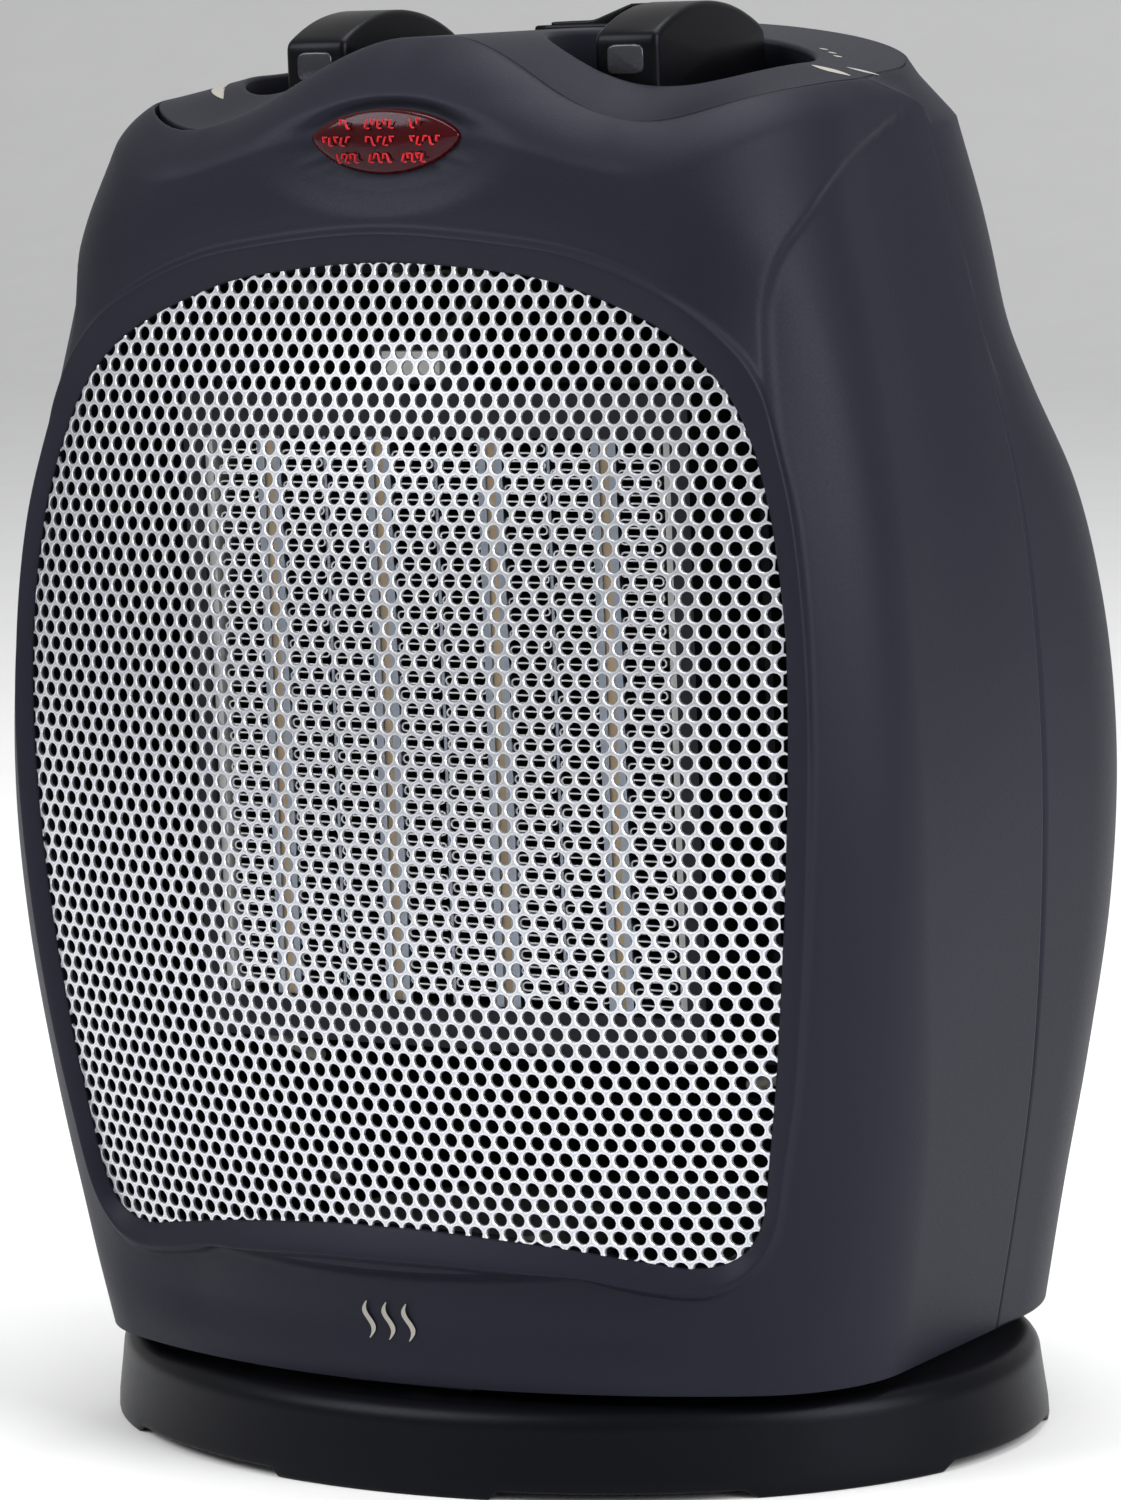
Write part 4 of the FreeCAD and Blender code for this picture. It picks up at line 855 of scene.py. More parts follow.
class HEATER_OT_lamp_lens(bpy.types.Operator):
    """Domed red lamp lens with rows of broken prisms behind its skin, their glints painted in as a faint
    glow.
    """

    bl_idname = "heater.lamp_lens"
    bl_label = "Lamp lens"

    def execute(self, context):
        """Rings shrink from the eye-shaped outline to the middle as the dome rises."""
        count = 96
        outline = lens_outline(count)
        front = float(plan_point(0.0, LENS_HEIGHT, 0.0)[1])
        layers = []
        for scale, y in ((1.0, 6.0), (1.0, 1.9), (0.985, 1.45), (0.95, 1.2)):
            layers.append(lens_layer(outline, scale, front + y))
        for scale in np.linspace(0.9, 0.0, 12):
            layers.append(lens_layer(outline, scale, front + 1.2 - 1.3 * (1 - scale ** 2)))
        points = np.concatenate(layers)
        make_piece("indicator_lens_dome", points, [grid_faces(len(layers), count, wrap=True)],
                   red_lens(), "housing", outward=(0, -40, LENS_HEIGHT),
                   replaces=("indicator_lens",))
        parts = []
        for row, height in enumerate((242.6, 239.6, 236.6)):
            spread = (1.0, 1.0, 0.74)[row]
            for cluster in (-1, 0, 1):
                for tooth in range(5):
                    lean = (0.9, -0.5, 0.2, -0.9, 0.6)[(tooth + 2 * row + cluster) % 5]
                    x = (cluster * 9.2 + (tooth - 2) * 1.25) * spread
                    if lens_measure(np.array(x), np.array(height), -1.2) > 0:
                        continue
                    y = front + 0.35 - 0.9 * (1 - (x / LENS_HALF) ** 2)
                    upper = (tooth + row) % 2
                    parts.append(prism(x, y, height + 0.35 * upper, lean, 0.17, 0.75 - 0.2 * upper))
                    parts.append(prism(x + 0.4, y, height - 0.75 + 1.5 * upper, 0, 0.34, 0.13))
        points, faces = join_parts(parts)
        # The prisms' glints are painted in by a faint glow in their material.
        make_piece("lens_prisms", points, faces, lens_glint(), "housing", flat=True)
        return {"FINISHED"}


def lens_outline(count):
    """Closed outline (x, z offset) of the lens, with its points at the left and right."""
    turn = np.arange(count) * 2 * math.pi / count
    across = np.cos(turn)
    rise, fall = lens_edge(across)
    return np.column_stack([LENS_HALF * across, np.where(np.sin(turn) > 0, rise, fall)])


def lens_layer(outline, scale, y):
    """One ring of the lens, shrunk towards its middle and bent with the hood."""
    middle = np.array([0.0, (LENS_RISE - LENS_FALL) / 2])
    ring = middle + (outline - middle) * scale
    return np.column_stack([ring[:, 0], y + 0.0016 * ring[:, 0] ** 2, LENS_HEIGHT + ring[:, 1]])


def prism(x, y, z, lean, half_w, half_h):
    """Thin leaning bar with a bevelled face, as eight points and six quads."""
    corners = np.array([[-1.0, 0, -1], [1, 0, -1], [1, 0, 1], [-1, 0, 1]]) * [half_w, 1, half_h]
    corners[:, 0] += lean * corners[:, 2] * 0.45
    points = np.concatenate([corners * [0.6, 1, 0.8], corners + [0, 0.3, 0]]) + [x, y, z]
    faces = np.array([[0, 1, 2, 3], [0, 4, 5, 1], [1, 5, 6, 2], [2, 6, 7, 3], [3, 7, 4, 0], [7, 6, 5, 4]])
    return points, [faces]


# ------------------------------------------------------------------ dials and rocker

def blade_outline(half, foot, end, top, count):
    """Side view (y, z) of the finger blade: foot, upright ends, circular back."""
    rise = top - end
    radius = (half * half + rise * rise) / (2 * rise)
    turn = math.asin(half / radius)
    angle = np.linspace(turn, -turn, count)
    arch = np.column_stack([radius * np.sin(angle), top - radius + radius * np.cos(angle)])
    sides = np.linspace(end, foot, 14)[1:]
    left = np.column_stack([np.full(len(sides), -half), sides])
    bottom = np.column_stack([np.linspace(-half, half, 30)[1:-1], np.full(28, foot)])
    right = np.column_stack([np.full(len(sides), half), sides[::-1]])
    return np.concatenate([arch, left, bottom, right])


BLADE_HALF = 20.5          # half length of the finger blade
BLADE_END = 256.6          # height where the blade's arched back meets its upright ends
BLADE_WIDTH = 13.0
FOOT_RADIUS = 22.6
POINTER_SINK = 0.55        # how far the pointer's middle sits inside the blade's end
POINTER_HEIGHT = 252.2


class HEATER_OT_dials(bpy.types.Operator):
    """Two dials: a round foot with a thick arched finger blade and a clear pointer."""

    bl_idname = "heater.dials"
    bl_label = "Dials"

    def execute(self, context):
        for name, body in (("thermostat", "thermostat_dial"), ("mode", "mode_dial")):
            low, high = node_box(name + "_knob")
            x0 = (low[0] + high[0]) / 2
            y0 = (low[1] + high[1]) / 2
            outline = blade_outline(BLADE_HALF, WELL_FLOOR + 2.0, BLADE_END, high[2], 40)
            outline = round_corners(outline, 2)
            slab, slab_faces = rounded_slab(outline, -BLADE_WIDTH / 2, BLADE_WIDTH / 2, 1.3)
            blade = np.column_stack([slab[:, 2] + x0, slab[:, 0] + y0, slab[:, 1]])
            turn = np.arange(96) * 2 * math.pi / 96
            disc = FOOT_RADIUS * np.column_stack([np.cos(turn), np.sin(turn)])
            foot, foot_faces = rounded_slab(disc, WELL_FLOOR + 0.8, WELL_FLOOR + 4.4, 0.8)
            foot = foot + [x0, y0, 0]
            points, faces = join_parts([(blade, slab_faces), (foot, foot_faces)])
            make_piece(name + "_dial", points, faces, knob_plastic(), body,
                       outward=(x0, y0, 248), replaces=(name + "_knob",))
            window = np.array([[-3.7, -2.7], [3.7, -2.7], [3.7, 2.7], [-3.7, 2.7]])
            window = densify(window, 6)
            slab, slab_faces = rounded_slab(round_corners(window, 2), -0.9, 0.9, 0.35, steps=4)
            tip = np.array([x0, y0 - BLADE_HALF + POINTER_SINK, POINTER_HEIGHT])
            pointer = np.column_stack([slab[:, 0], slab[:, 2], slab[:, 1]]) + tip
            make_piece(name + "_pointer_insert", pointer, slab_faces, clear_insert(), body,
                       outward=tip - [0, POINTER_SINK, 0], replaces=(name + "_pointer",))
        return {"FINISHED"}


def densify(outline, count):
    """Adds points along each side of a closed outline."""
    step = np.arange(count)[None, :, None] / count
    after = np.roll(outline, -1, 0)
    return (outline[:, None] + (after - outline)[:, None] * step).reshape(-1, 2)


def round_corners(outline, times):
    """Rounds a closed outline by averaging each point with its neighbours."""
    for _ in range(times):
        outline = 0.5 * outline + 0.25 * (np.roll(outline, 1, 0) + np.roll(outline, -1, 0))
    return outline


BEZEL_RIM = 2.0
BEZEL_FOOT = 254.6
BEZEL_FLOOR = 249.0
ROCKER_PIVOT = 256.5       # height of the paddle's axis
ROCKER_TILT = 10.0


class HEATER_OT_rocker(bpy.types.Operator):
    """Oscillation rocker: raised bezel with a tipping paddle in it."""

    bl_idname = "heater.rocker"
    bl_label = "Rocker"

    def execute(self, context):
        low, high = node_box("rocker_housing")
        middle = (low + high) / 2
        half = (high - low)[:2] / 2
        outer = densify(np.array([[-half[0], -half[1]], [half[0], -half[1]], half, [-half[0], half[1]]]), 8)
        inner = outer * (half - BEZEL_RIM) / half
        rings = []
        top = high[2]
        for ring, z in ((outer, BEZEL_FOOT), (outer, top - 0.5), (outer * 0.985, top - 0.15),
                        (outer * 0.96, top), (inner * 1.04, top), (inner, top - 0.4), (inner, BEZEL_FLOOR)):
            rings.append(np.column_stack([ring + middle[:2], np.full(len(ring), z)]))
        grid = np.array(rings)
        make_piece("rocker_bezel", grid.reshape(-1, 3), [grid_faces(len(rings), len(outer), wrap=True)],
                   knob_plastic(), "housing", outward=(middle[0], middle[1], 240),
                   replaces=("rocker_housing",))
        pivot = np.array([0.0, ROCKER_PIVOT])
        reach = half[0] - 2.5
        side = np.array([(-reach, 2.0), (-reach, 3.7), (0, 2.2), (reach, 3.7), (reach, 2.0),
                         (2.5, -5), (-2.5, -5)])
        tilt = math.radians(ROCKER_TILT)
        turned = np.column_stack([side[:, 0] * math.cos(tilt) - side[:, 1] * math.sin(tilt),
                                  side[:, 0] * math.sin(tilt) + side[:, 1] * math.cos(tilt)]) + pivot
        slab, faces = rounded_slab(round_corners(densify(turned, 8), 1), -3.4, 3.4, 0.4, steps=4)
        points = np.column_stack([slab[:, 0], slab[:, 2] + middle[1], slab[:, 1]])
        make_piece("rocker_paddle_cap", points, faces, knob_plastic(), "rocker",
                   outward=(0, middle[1], 255), replaces=("rocker_paddle",))
        return {"FINISHED"}


# ------------------------------------------------------------------ base

BASE_HALF = (92.0, 72.4)
BASE_SHIFT = -3.0
FOOT_TURNS = (-149.5, -90, -30.5, 30.5, 90, 149.5)
FOOT_HALF_TURN = 14.5


def foot_mask(turn):
    """1 over each foot segment of the rim, 0 between them."""
    degrees = np.degrees(turn)
    mask = np.zeros_like(degrees)
    for centre in FOOT_TURNS:
        away = np.abs((degrees - centre + 180) % 360 - 180)
        mask = np.maximum(mask, 1 - smooth((away - FOOT_HALF_TURN + 0.6) / 1.2))
    return mask


class HEATER_OT_base_shell(bpy.types.Operator):
    """Oval base: skirt with a slight flare, rounded top edge and foot segments."""

    bl_idname = "heater.base_shell"
    bl_label = "Base shell"

    def execute(self, context):
        """Rings (inset, height) carried round the oval; the lowest follow the feet."""
        count = 360
        turn = np.arange(count) * 2 * math.pi / count
        lift = 1.5 * (1 - foot_mask(turn))
        rings = [(3.0, 4.0, 0.0), (2.6, 0.0, 1.0), (0.5, 0.0, 1.0), (0.1, 0.25, 1.0), (0.0, 0.7, 0.9),
                 (0.15, 3.4, 0.0), (0.9, 9.0, 0.0), (1.3, 12.2, 0.0)]
        for angle in np.linspace(0, math.pi / 2, 8)[1:]:
            rings.append((1.3 + 4.2 * (1 - math.cos(angle)), 12.2 + 4.2 * math.sin(angle), 0.0))
        rings += [(9.0, 16.4, 0.0), (20.0, 16.4, 0.0), (40.0, 16.4, 0.0)]
        layers = []
        for inset, height, share in rings:
            layers.append(np.column_stack([(BASE_HALF[0] - inset) * np.cos(turn),
                                           (BASE_HALF[1] - inset) * np.sin(turn) + BASE_SHIFT,
                                           height + lift * share]))
        make_piece("base_skirt", np.concatenate(layers), [grid_faces(len(rings), count, wrap=True)],
                   base_plastic(), "base", outward=(0, 0, 8), replaces=("base_shell",))
        return {"FINISHED"}


# ------------------------------------------------------------------ printed marks

def draped(outline, lift=0.06):
    """Flat closed 2D outline (x, y) laid on the top cover, as a fan round its middle."""
    middle = outline.mean(0)
    rings = [outline, middle + (outline - middle) * 0.5]
    points = np.concatenate(rings + [[middle]])
    points = np.column_stack([points, crown(points[:, 0], points[:, 1]) + lift])
    count = len(outline)
    faces = [grid_faces(2, count, wrap=True), fan_faces(np.arange(count, 2 * count), 2 * count)]
    return points, faces


def crescent(centre, radius, start, stop, width):
    """Tapered arc: its width follows a half sine from one tip to the other."""
    turn = np.radians(np.linspace(start, stop, 28))
    swell = width / 2 * np.sin(np.linspace(0.12, math.pi, 28)) ** 0.8
    outer = np.column_stack([np.cos(turn), np.sin(turn)]) * (radius + swell)[:, None]
    inner = np.column_stack([np.cos(turn), np.sin(turn)]) * (radius - swell)[:, None]
    return np.concatenate([outer, inner[::-1]]) + centre


def stroke(centre, angle, near, far, width):
    """Tapered radial stroke: its half width follows a half sine from its inner to its outer tip."""
    turn = math.radians(angle)
    along = np.array([math.cos(turn), math.sin(turn)])
    across = np.array([-along[1], along[0]])
    reach = np.linspace(near, far, 20)[:, None] * along
    swell = width / 2 * np.sin(np.linspace(0.15, math.pi - 0.15, 20))[:, None] * across
    return np.concatenate([reach + swell, (reach - swell)[::-1]]) + centre


class HEATER_OT_marks(bpy.types.Operator):
    """Generic printed marks: tapered arcs and dots by the dials, heat waves on the chin."""

    bl_idname = "heater.marks"
    bl_label = "Printed marks"

    def execute(self, context):
        left = np.array([-WELL[0], WELL[1]])
        right = np.array([WELL[0], WELL[1]])
        turn = np.arange(16) * 2 * math.pi / 16
        disc = np.column_stack([np.cos(turn), np.sin(turn)])
        parts = [draped(crescent(left, 29.2, 178, 228, 2.8))]
        parts.append(draped(stroke(right, -1, 26.8, 34.5, 3.4)))
        parts.append(draped(stroke(right, 14, 30.5, 36.5, 2.0)))
        for angle in (38, 46, 54):
            place = right + 28.6 * np.array([math.cos(math.radians(angle)), math.sin(math.radians(angle))])
            parts.append(draped(disc * 0.8 + place))
        points, faces = join_parts(parts)
        make_piece("dial_marks", points, faces, print_ink(), "housing", outward=(0, 0, 200))
        waves = []
        for index in (-1, 0, 1):
            waves.append(heat_wave(index * 4.2, 29.8, 7.0))
        points, faces = join_parts(waves)
        make_piece("chin_emblem", points, faces, print_ink(), "housing", outward=(0, 20, 27))
        return {"FINISHED"}


def heat_wave(x0, z0, tall):
    """Upright wavy stroke on the chin: its middle follows one sine wave as it rises."""
    step = np.linspace(0, 1, 24)
    z = z0 + (step - 0.5) * tall
    x = x0 + 0.8 * np.sin(step * 2 * math.pi)
    width = 0.62 * np.sin(np.linspace(0.15, math.pi - 0.15, 24))
    sides = []
    for sign in (-1, 1):
        share = share_at(x + sign * width, z)
        point = plan_point(share, z, -front_relief(share, z) - 0.08)
        sides.append(point)
    grid = np.array(sides)
    return grid.reshape(-1, 3), [grid_faces(2, 24)]


# ------------------------------------------------------------------ materials

def node_group(name, inputs, outputs):
    """Shader node group with named inputs (name, kind, default) and outputs (name, kind)."""
    group = bpy.data.node_groups.new(name, "ShaderNodeTree")
    for label, kind, default in inputs:
        socket = group.interface.new_socket(label, in_out="INPUT", socket_type=kind)
        socket.default_value = default
    for label, kind in outputs:
        group.interface.new_socket(label, in_out="OUTPUT", socket_type=kind)
    return group, group.nodes.new("NodeGroupInput"), group.nodes.new("NodeGroupOutput")


def add_node(tree, kind, values=None, **settings):
    """New shader node: its settings first, then the default values of its inputs."""
    node = tree.nodes.new("ShaderNode" + kind)
    for name, value in settings.items():
        setattr(node, name, value)
    set_inputs(node, values or {})
    return node


def set_inputs(node, values):
    """Sets the default values of a node's inputs, by name or number."""
    for name, value in values.items():
        node.inputs[name].default_value = value


def reused(build):
    """Material function that hands back the material of that name where there is one."""
    def find_or_build(name, *values, **options):
        return bpy.data.materials.get(name) or build(name, *values, **options)
    return find_or_build


def new_material(name):
    """Material with nodes, its node tree and its Principled shader."""
    material = bpy.data.materials.new(name)
    material.use_nodes = True
    return material, material.node_tree, material.node_tree.nodes["Principled BSDF"]


def texture_of_moulding():
    """Fine spark-eroded grain and slow tone drift, shared by every moulded finish."""
    found = bpy.data.node_groups.get("moulded_grain")
    if found:
        return found
    inputs = [("Coordinates", "NodeSocketVector", (0, 0, 0)),
              ("Colour", "NodeSocketColor", (0.1, 0.1, 0.1, 1)),
              ("Grain Size", "NodeSocketFloat", 2600.0), ("Drift", "NodeSocketFloat", 0.1),
              ("Roughness", "NodeSocketFloat", 0.5)]
    outputs = [("Colour", "NodeSocketColor"), ("Roughness", "NodeSocketFloat"), ("Height", "NodeSocketFloat")]
    group, start, end = node_group("moulded_grain", inputs, outputs)
    link = group.links.new
    fine = add_node(group, "TexNoise", {"Detail": 3.0})
    slow = add_node(group, "TexNoise", {"Scale": 22.0, "Detail": 4.0})
    ramp = add_node(group, "MapRange", {"From Min": 0.3, "From Max": 0.7, "To Min": -1.0})
    drift = add_node(group, "Math", {2: 1.0}, operation="MULTIPLY_ADD")
    tint = add_node(group, "VectorMath", operation="SCALE")
    rough = add_node(group, "Math", {1: 0.16}, operation="MULTIPLY_ADD")
    link(start.outputs["Coordinates"], fine.inputs["Vector"])
    link(start.outputs["Grain Size"], fine.inputs["Scale"])
    link(start.outputs["Coordinates"], slow.inputs["Vector"])
    link(slow.outputs["Fac"], ramp.inputs["Value"])
    link(ramp.outputs["Result"], drift.inputs[0])
    link(start.outputs["Drift"], drift.inputs[1])
    link(start.outputs["Colour"], tint.inputs[0])
    link(drift.outputs[0], tint.inputs["Scale"])
    link(tint.outputs[0], end.inputs["Colour"])
    link(fine.outputs["Fac"], rough.inputs[0])
    link(start.outputs["Roughness"], rough.inputs[2])
    link(rough.outputs[0], end.inputs["Roughness"])
    link(fine.outputs["Fac"], end.inputs["Height"])
    return group


@reused
def moulded_plastic(name, colour, roughness, grain=2600.0, drift=0.10, bump=0.00002, specular=0.5):
    """Moulded plastic: grain group into a Principled shader, with a small bump."""
    material, tree, shader = new_material(name)
    link = tree.links.new
    coordinates = add_node(tree, "TexCoord")
    texture = add_node(tree, "Group", node_tree=texture_of_moulding())
    set_inputs(texture, {"Colour": (*colour, 1), "Grain Size": grain, "Drift": drift,
                         "Roughness": roughness - 0.08})
    relief = add_node(tree, "Bump", {"Distance": bump, "Strength": 1.0})
    link(coordinates.outputs["Object"], texture.inputs["Coordinates"])
    link(texture.outputs["Colour"], shader.inputs["Base Color"])
    link(texture.outputs["Roughness"], shader.inputs["Roughness"])
    link(texture.outputs["Height"], relief.inputs["Height"])
    link(relief.outputs["Normal"], shader.inputs["Normal"])
    set_inputs(shader, {"Specular IOR Level": specular, "Specular Tint": (0.80, 0.83, 1.0, 1),
                        "Coat Roughness": 0.3})
    return material


def shell_plastic():
    return moulded_plastic("charcoal_moulding", colours().shell, 0.50, grain=2200.0, drift=0.06, bump=0.00003,
                           specular=0.17)


def base_plastic():
    return moulded_plastic("base_moulding", colours().base, 0.36, bump=0.000015, specular=0.12)


def knob_plastic():
    return moulded_plastic("dial_moulding", colours().knob, 0.34, grain=3000.0, bump=0.000008, specular=0.13)


def inner_plastic():
    return moulded_plastic("inner_black_moulding", (0.012, 0.012, 0.013), 0.6)


@reused
def metal_finish(name, colour, roughness, metallic=1.0, scratch=0.08, stretch=(1, 1, 1)):
    """Metal whose roughness and tone follow a noise stretched along one direction."""
    material, tree, shader = new_material(name)
    link = tree.links.new
    coordinates = add_node(tree, "TexCoord")
    mapping = add_node(tree, "Mapping", {"Scale": stretch})
    noise = add_node(tree, "TexNoise", {"Scale": 900.0, "Detail": 4.0})
    rough = add_node(tree, "MapRange", {"To Min": roughness - scratch, "To Max": roughness + scratch})
    tone = add_node(tree, "Mix", {"A": (*[0.88 * c for c in colour], 1), "B": (*colour, 1)}, data_type="RGBA")
    link(coordinates.outputs["Object"], mapping.inputs["Vector"])
    link(mapping.outputs["Vector"], noise.inputs["Vector"])
    link(noise.outputs["Fac"], rough.inputs["Value"])
    link(rough.outputs["Result"], shader.inputs["Roughness"])
    link(noise.outputs["Fac"], tone.inputs["Factor"])
    link(tone.outputs["Result"], shader.inputs["Base Color"])
    shader.inputs["Metallic"].default_value = metallic
    return material


@reused
def metal_with_painted_shade(name, attribute, dark, light, roughness, metallic):
    """Metal with painted shade and highlight: its tone runs from a dark shaded colour to a light lit colour
    with a point attribute of the mesh.
    """
    material = metal_finish(name, light, roughness, metallic=metallic)
    tree = material.node_tree
    link = tree.links.new
    value = add_node(tree, "Attribute", attribute_name=attribute)
    tone = add_node(tree, "Mix", {"A": (*dark, 1)}, data_type="RGBA")
    base = tree.nodes["Principled BSDF"].inputs["Base Color"]
    link(base.links[0].from_socket, tone.inputs["B"])
    link(value.outputs["Fac"], tone.inputs["Factor"])
    link(tone.outputs["Result"], base)
    return material


def outlet_metal():
    # Painted shade (the dark tone) on the flat between holes, painted highlight (the sheet's colour) at the
    # hole rims.
    return metal_with_painted_shade("outlet_sheet_metal", "hole_rim", (0.40, 0.41, 0.45), colours().metal, 0.30, 0.75)


def fin_foil():
    # Painted shade on the fin walls (the dark tone), painted highlight on their front edges (the light tone).
    return metal_with_painted_shade("fin_foil", "front_edge", (0.03, 0.03, 0.035), (0.95, 0.96, 0.98), 0.45, 0.3)


def adjusted(material, values):
    """Changes some of a material's shader inputs and hands the material back."""
    set_inputs(material.node_tree.nodes["Principled BSDF"], values)
    return material


def red_lens():
    """Glossy translucent red with a thin coat."""
    material = moulded_plastic("lamp_lens_red", colours().lens, 0.16, grain=700.0, drift=0.3, bump=0.00001)
    return adjusted(material, {"Transmission Weight": 0.75, "IOR": 1.25, "Coat Weight": 0.12,
                               "Coat Roughness": 0.08})


def lens_glint():
    """Red prism faces with a faint glow that paints their glints."""
    material = moulded_plastic("lens_prism_red", (0.55, 0.012, 0.016), 0.3, drift=0.5)
    return adjusted(material, {"Emission Color": (1.0, 0.03, 0.03, 1), "Emission Strength": 0.02})


def clear_insert():
    """Smoky clear plastic of the dials' pointers."""
    material = moulded_plastic("clear_pointer", (0.03, 0.03, 0.034), 0.16, grain=500.0, drift=0.6,
                               bump=0.00012)
    return adjusted(material, {"Transmission Weight": 0.35})


def print_ink():
    return moulded_plastic("pale_print", colours().print, 0.55, drift=0.05)


def slot_materials():
    """Finish for every material slot of the carried-over CAD nodes."""
    return {
        "charcoal_plastic": shell_plastic(),
        "base_plastic": base_plastic(),
        "black_plastic": inner_plastic(),
        "knob_plastic": knob_plastic(),
        "white_plastic": moulded_plastic("white_moulding", (0.62, 0.62, 0.60), 0.5),
        "clear_plastic": clear_insert(),
        "red_lens": red_lens(),
        "lamp_glass": moulded_plastic("lamp_glass", (0.5, 0.2, 0.1), 0.15),
        "bright_mesh": outlet_metal(),
        "aluminium": metal_finish("electrode_aluminium", (0.42, 0.47, 0.55), 0.38),
        "steel": metal_finish("plain_steel", (0.55, 0.56, 0.58), 0.38, stretch=(1, 1, 8)),
        "ceramic": moulded_plastic("fired_ceramic", (0.50, 0.38, 0.24), 0.7, drift=0.25),
        "copper": metal_finish("enamelled_copper", (0.72, 0.30, 0.14), 0.35),
        "brass": metal_finish("sintered_bronze", (0.60, 0.42, 0.20), 0.45),
        "rubber": moulded_plastic("foot_rubber", (0.012, 0.012, 0.012), 0.75),
        "foam": moulded_plastic("filter_foam", (0.02, 0.02, 0.022), 0.95, grain=900.0, drift=0.4,
                                bump=0.0008),
        "lead_insulation": moulded_plastic("lead_sleeve", (0.6, 0.57, 0.5), 0.55),
    }


class HEATER_OT_finishes(bpy.types.Operator):
    """Gives every carried-over CAD node the finish of its material slot."""

    bl_idname = "heater.finishes"
    bl_label = "Finishes"

    def execute(self, context):
        finishes = slot_materials()
        slots = {entry["node"]: entry["material_slot"] for entry in frame["record"]["subparts"]}
        for name, node in frame["nodes"].items():
            node.data.materials.clear()
            node.data.materials.append(finishes[slots[name]])
        return {"FINISHED"}


# ------------------------------------------------------------------ stage

CAMERA_PLACE = (0.5823, -0.9897, 0.2717)
CAMERA_TURN = 30.5
CAMERA_DROP = 7.33
CAMERA_ROLL = -2.0
CAMERA_LENS = 149.0
WALL_ROUND = 1500          # radius of the sweep from the floor up into the wall


def add_light(name, place, aim, size, power):
    """Large soft area light aimed at a point."""
    data = bpy.data.lights.new(name, "AREA")
    data.shape = "RECTANGLE"
    data.size, data.size_y = size
    data.energy = power
    light = bpy.data.objects.new(name, data)
    bpy.context.scene.collection.objects.link(light)
    light.location = place
    light.rotation_euler = (Vector(aim) - Vector(place)).to_track_quat("-Z", "Y").to_euler()
    return light


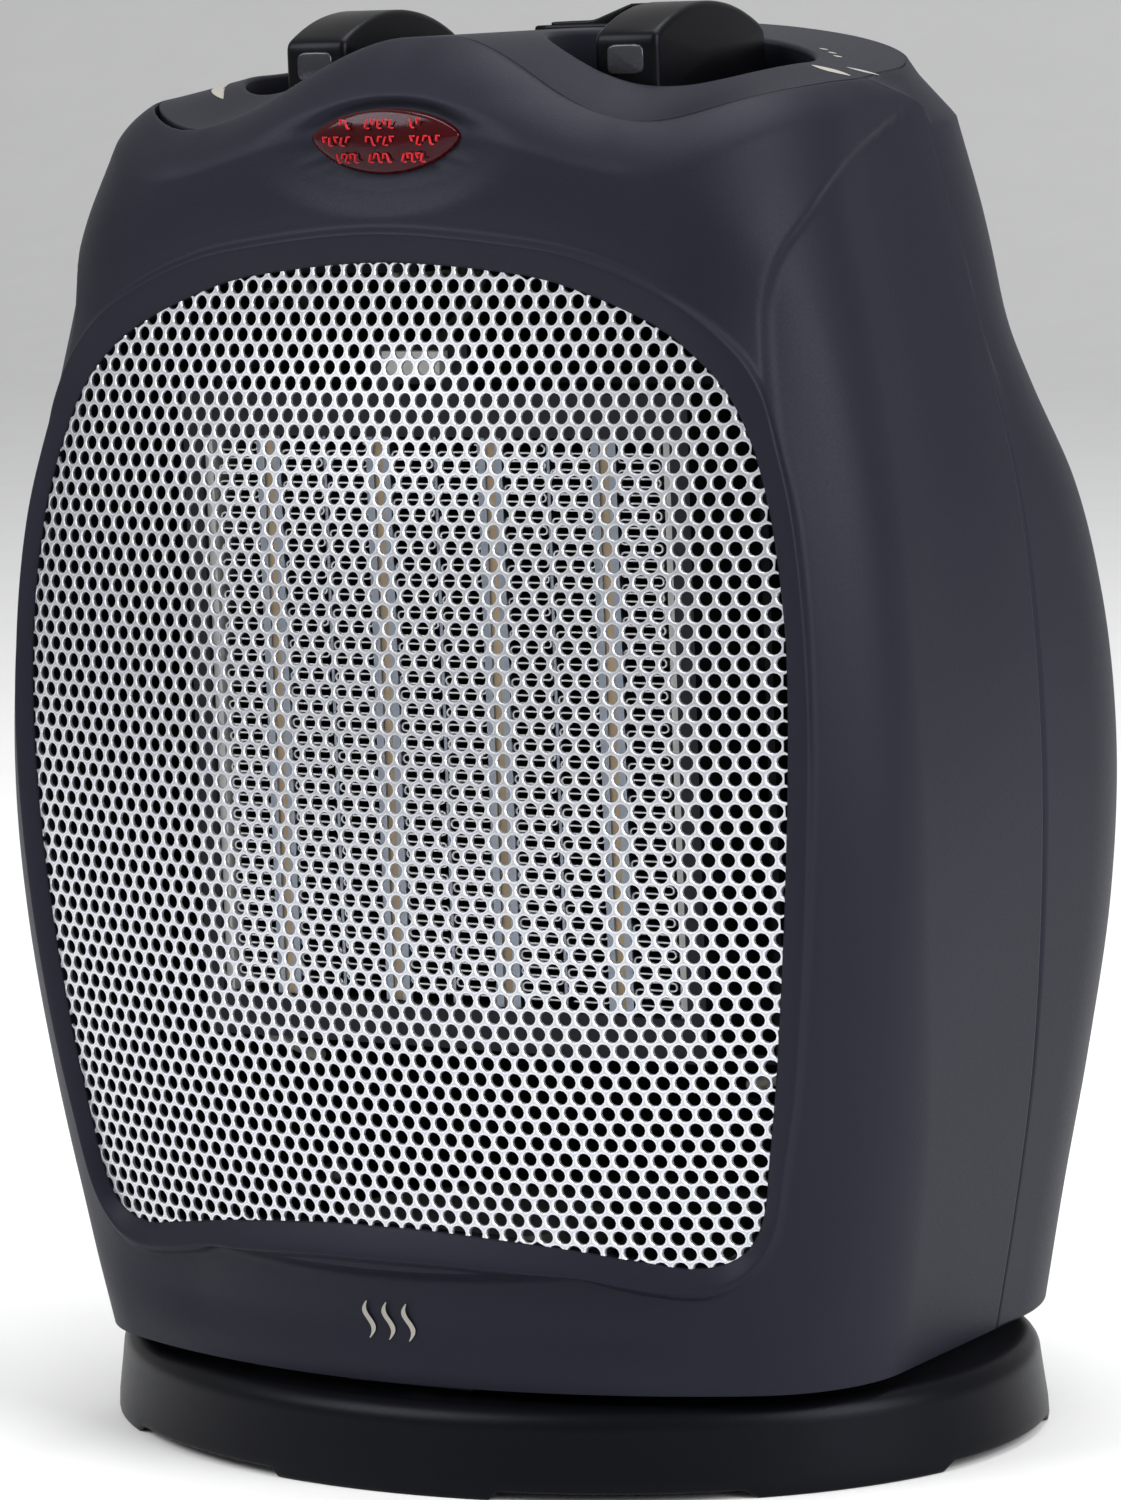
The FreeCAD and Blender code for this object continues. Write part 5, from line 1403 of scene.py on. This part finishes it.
class HEATER_OT_stage(bpy.types.Operator):
    """Pale floor, soft studio lights and the camera."""

    bl_idname = "heater.stage"
    bl_label = "Stage"

    def execute(self, context):
        """The floor is flat, then curves up behind along a quarter circle into a wall."""
        bend = np.linspace(0.1, 1.57, 14)
        along = np.concatenate([np.linspace(-4000, 2400, 20), 2400 + WALL_ROUND * np.sin(bend)])
        up = np.concatenate([np.zeros(20), WALL_ROUND * (1 - np.cos(bend))])
        across = np.linspace(-4500, 4500, 12)
        grid = np.stack(np.broadcast_arrays(across[None, :], along[:, None], up[:, None]), -1)
        mesh = bpy.data.meshes.new("studio_floor")
        mesh.from_pydata((grid.reshape(-1, 3) * MM).tolist(), [], grid_faces(len(along), 12).tolist())
        mesh.polygons.foreach_set("use_smooth", np.ones(len(mesh.polygons), bool))
        floor = bpy.data.objects.new("studio_floor", mesh)
        context.scene.collection.objects.link(floor)
        mesh.materials.append(moulded_plastic("pale_floor", (0.93, 0.93, 0.93), 0.6, grain=60.0, drift=0.01))
        world = bpy.data.worlds.new("studio")
        world.use_nodes = True
        world.node_tree.nodes["Background"].inputs["Color"].default_value = (1, 1, 1, 1)
        world.node_tree.nodes["Background"].inputs["Strength"].default_value = 0.45
        context.scene.world = world
        add_light("key_left", (-0.9, -1.1, 1.3), (0, 0, 0.13), (1.0, 1.0), 20)
        add_light("fill_right", (1.5, -0.3, 0.9), (0, 0, 0.14), (0.9, 1.3), 27)
        add_light("top_soft", (0.1, 0.3, 1.6), (0, 0, 0.1), (1.2, 0.8), 14)
        data = bpy.data.cameras.new("camera")
        data.lens = CAMERA_LENS
        data.sensor_width = 36.0
        camera = bpy.data.objects.new("camera", data)
        context.scene.collection.objects.link(camera)
        turn = (Matrix.Rotation(math.radians(CAMERA_TURN), 4, "Z")
                @ Matrix.Rotation(math.radians(90 - CAMERA_DROP), 4, "X")
                @ Matrix.Rotation(math.radians(CAMERA_ROLL), 4, "Z"))
        camera.matrix_world = Matrix.Translation(CAMERA_PLACE) @ turn
        context.scene.camera = camera
        context.scene.view_settings.view_transform = "Standard"
        return {"FINISHED"}


# ------------------------------------------------------------------ panel and run

class HEATER_PT_pieces(bpy.types.Panel):
    """Sidebar panel that lists the heater's pieces."""

    bl_label = "Ceramic heater"
    bl_idname = "HEATER_PT_pieces"
    bl_space_type = "VIEW_3D"
    bl_region_type = "UI"
    bl_category = "Heater"

    def draw(self, context):
        for group in (context.scene.heater_body, context.scene.heater_outlet, context.scene.heater_colours):
            box = self.layout.box()
            for name in group.bl_rna.properties.keys():
                if name not in ("rna_type", "name"):
                    box.prop(group, name)
        for operator in OPERATORS:
            self.layout.operator(operator.bl_idname)


GROUPS = (HeaterBodySizes, HeaterOutletSizes, HeaterColours)
OPERATORS = (HEATER_OT_stage, HEATER_OT_finishes, HEATER_OT_front_shell, HEATER_OT_rear_shell,
             HEATER_OT_top_cover, HEATER_OT_outlet_mesh, HEATER_OT_heat_fins, HEATER_OT_lamp_lens,
             HEATER_OT_dials, HEATER_OT_rocker, HEATER_OT_base_shell, HEATER_OT_marks)


def register():
    for item in (*GROUPS, *OPERATORS, HEATER_PT_pieces):
        bpy.utils.register_class(item)
    bpy.types.Scene.heater_body = bpy.props.PointerProperty(type=HeaterBodySizes)
    bpy.types.Scene.heater_outlet = bpy.props.PointerProperty(type=HeaterOutletSizes)
    bpy.types.Scene.heater_colours = bpy.props.PointerProperty(type=HeaterColours)


def unregister():
    del bpy.types.Scene.heater_colours
    del bpy.types.Scene.heater_outlet
    del bpy.types.Scene.heater_body
    for item in (HEATER_PT_pieces, *OPERATORS[::-1], *GROUPS[::-1]):
        bpy.utils.unregister_class(item)


def main():
    register()
    for operator in OPERATORS:
        group, name = operator.bl_idname.split(".")
        getattr(getattr(bpy.ops, group), name)()


if __name__ == "__main__":
    main()
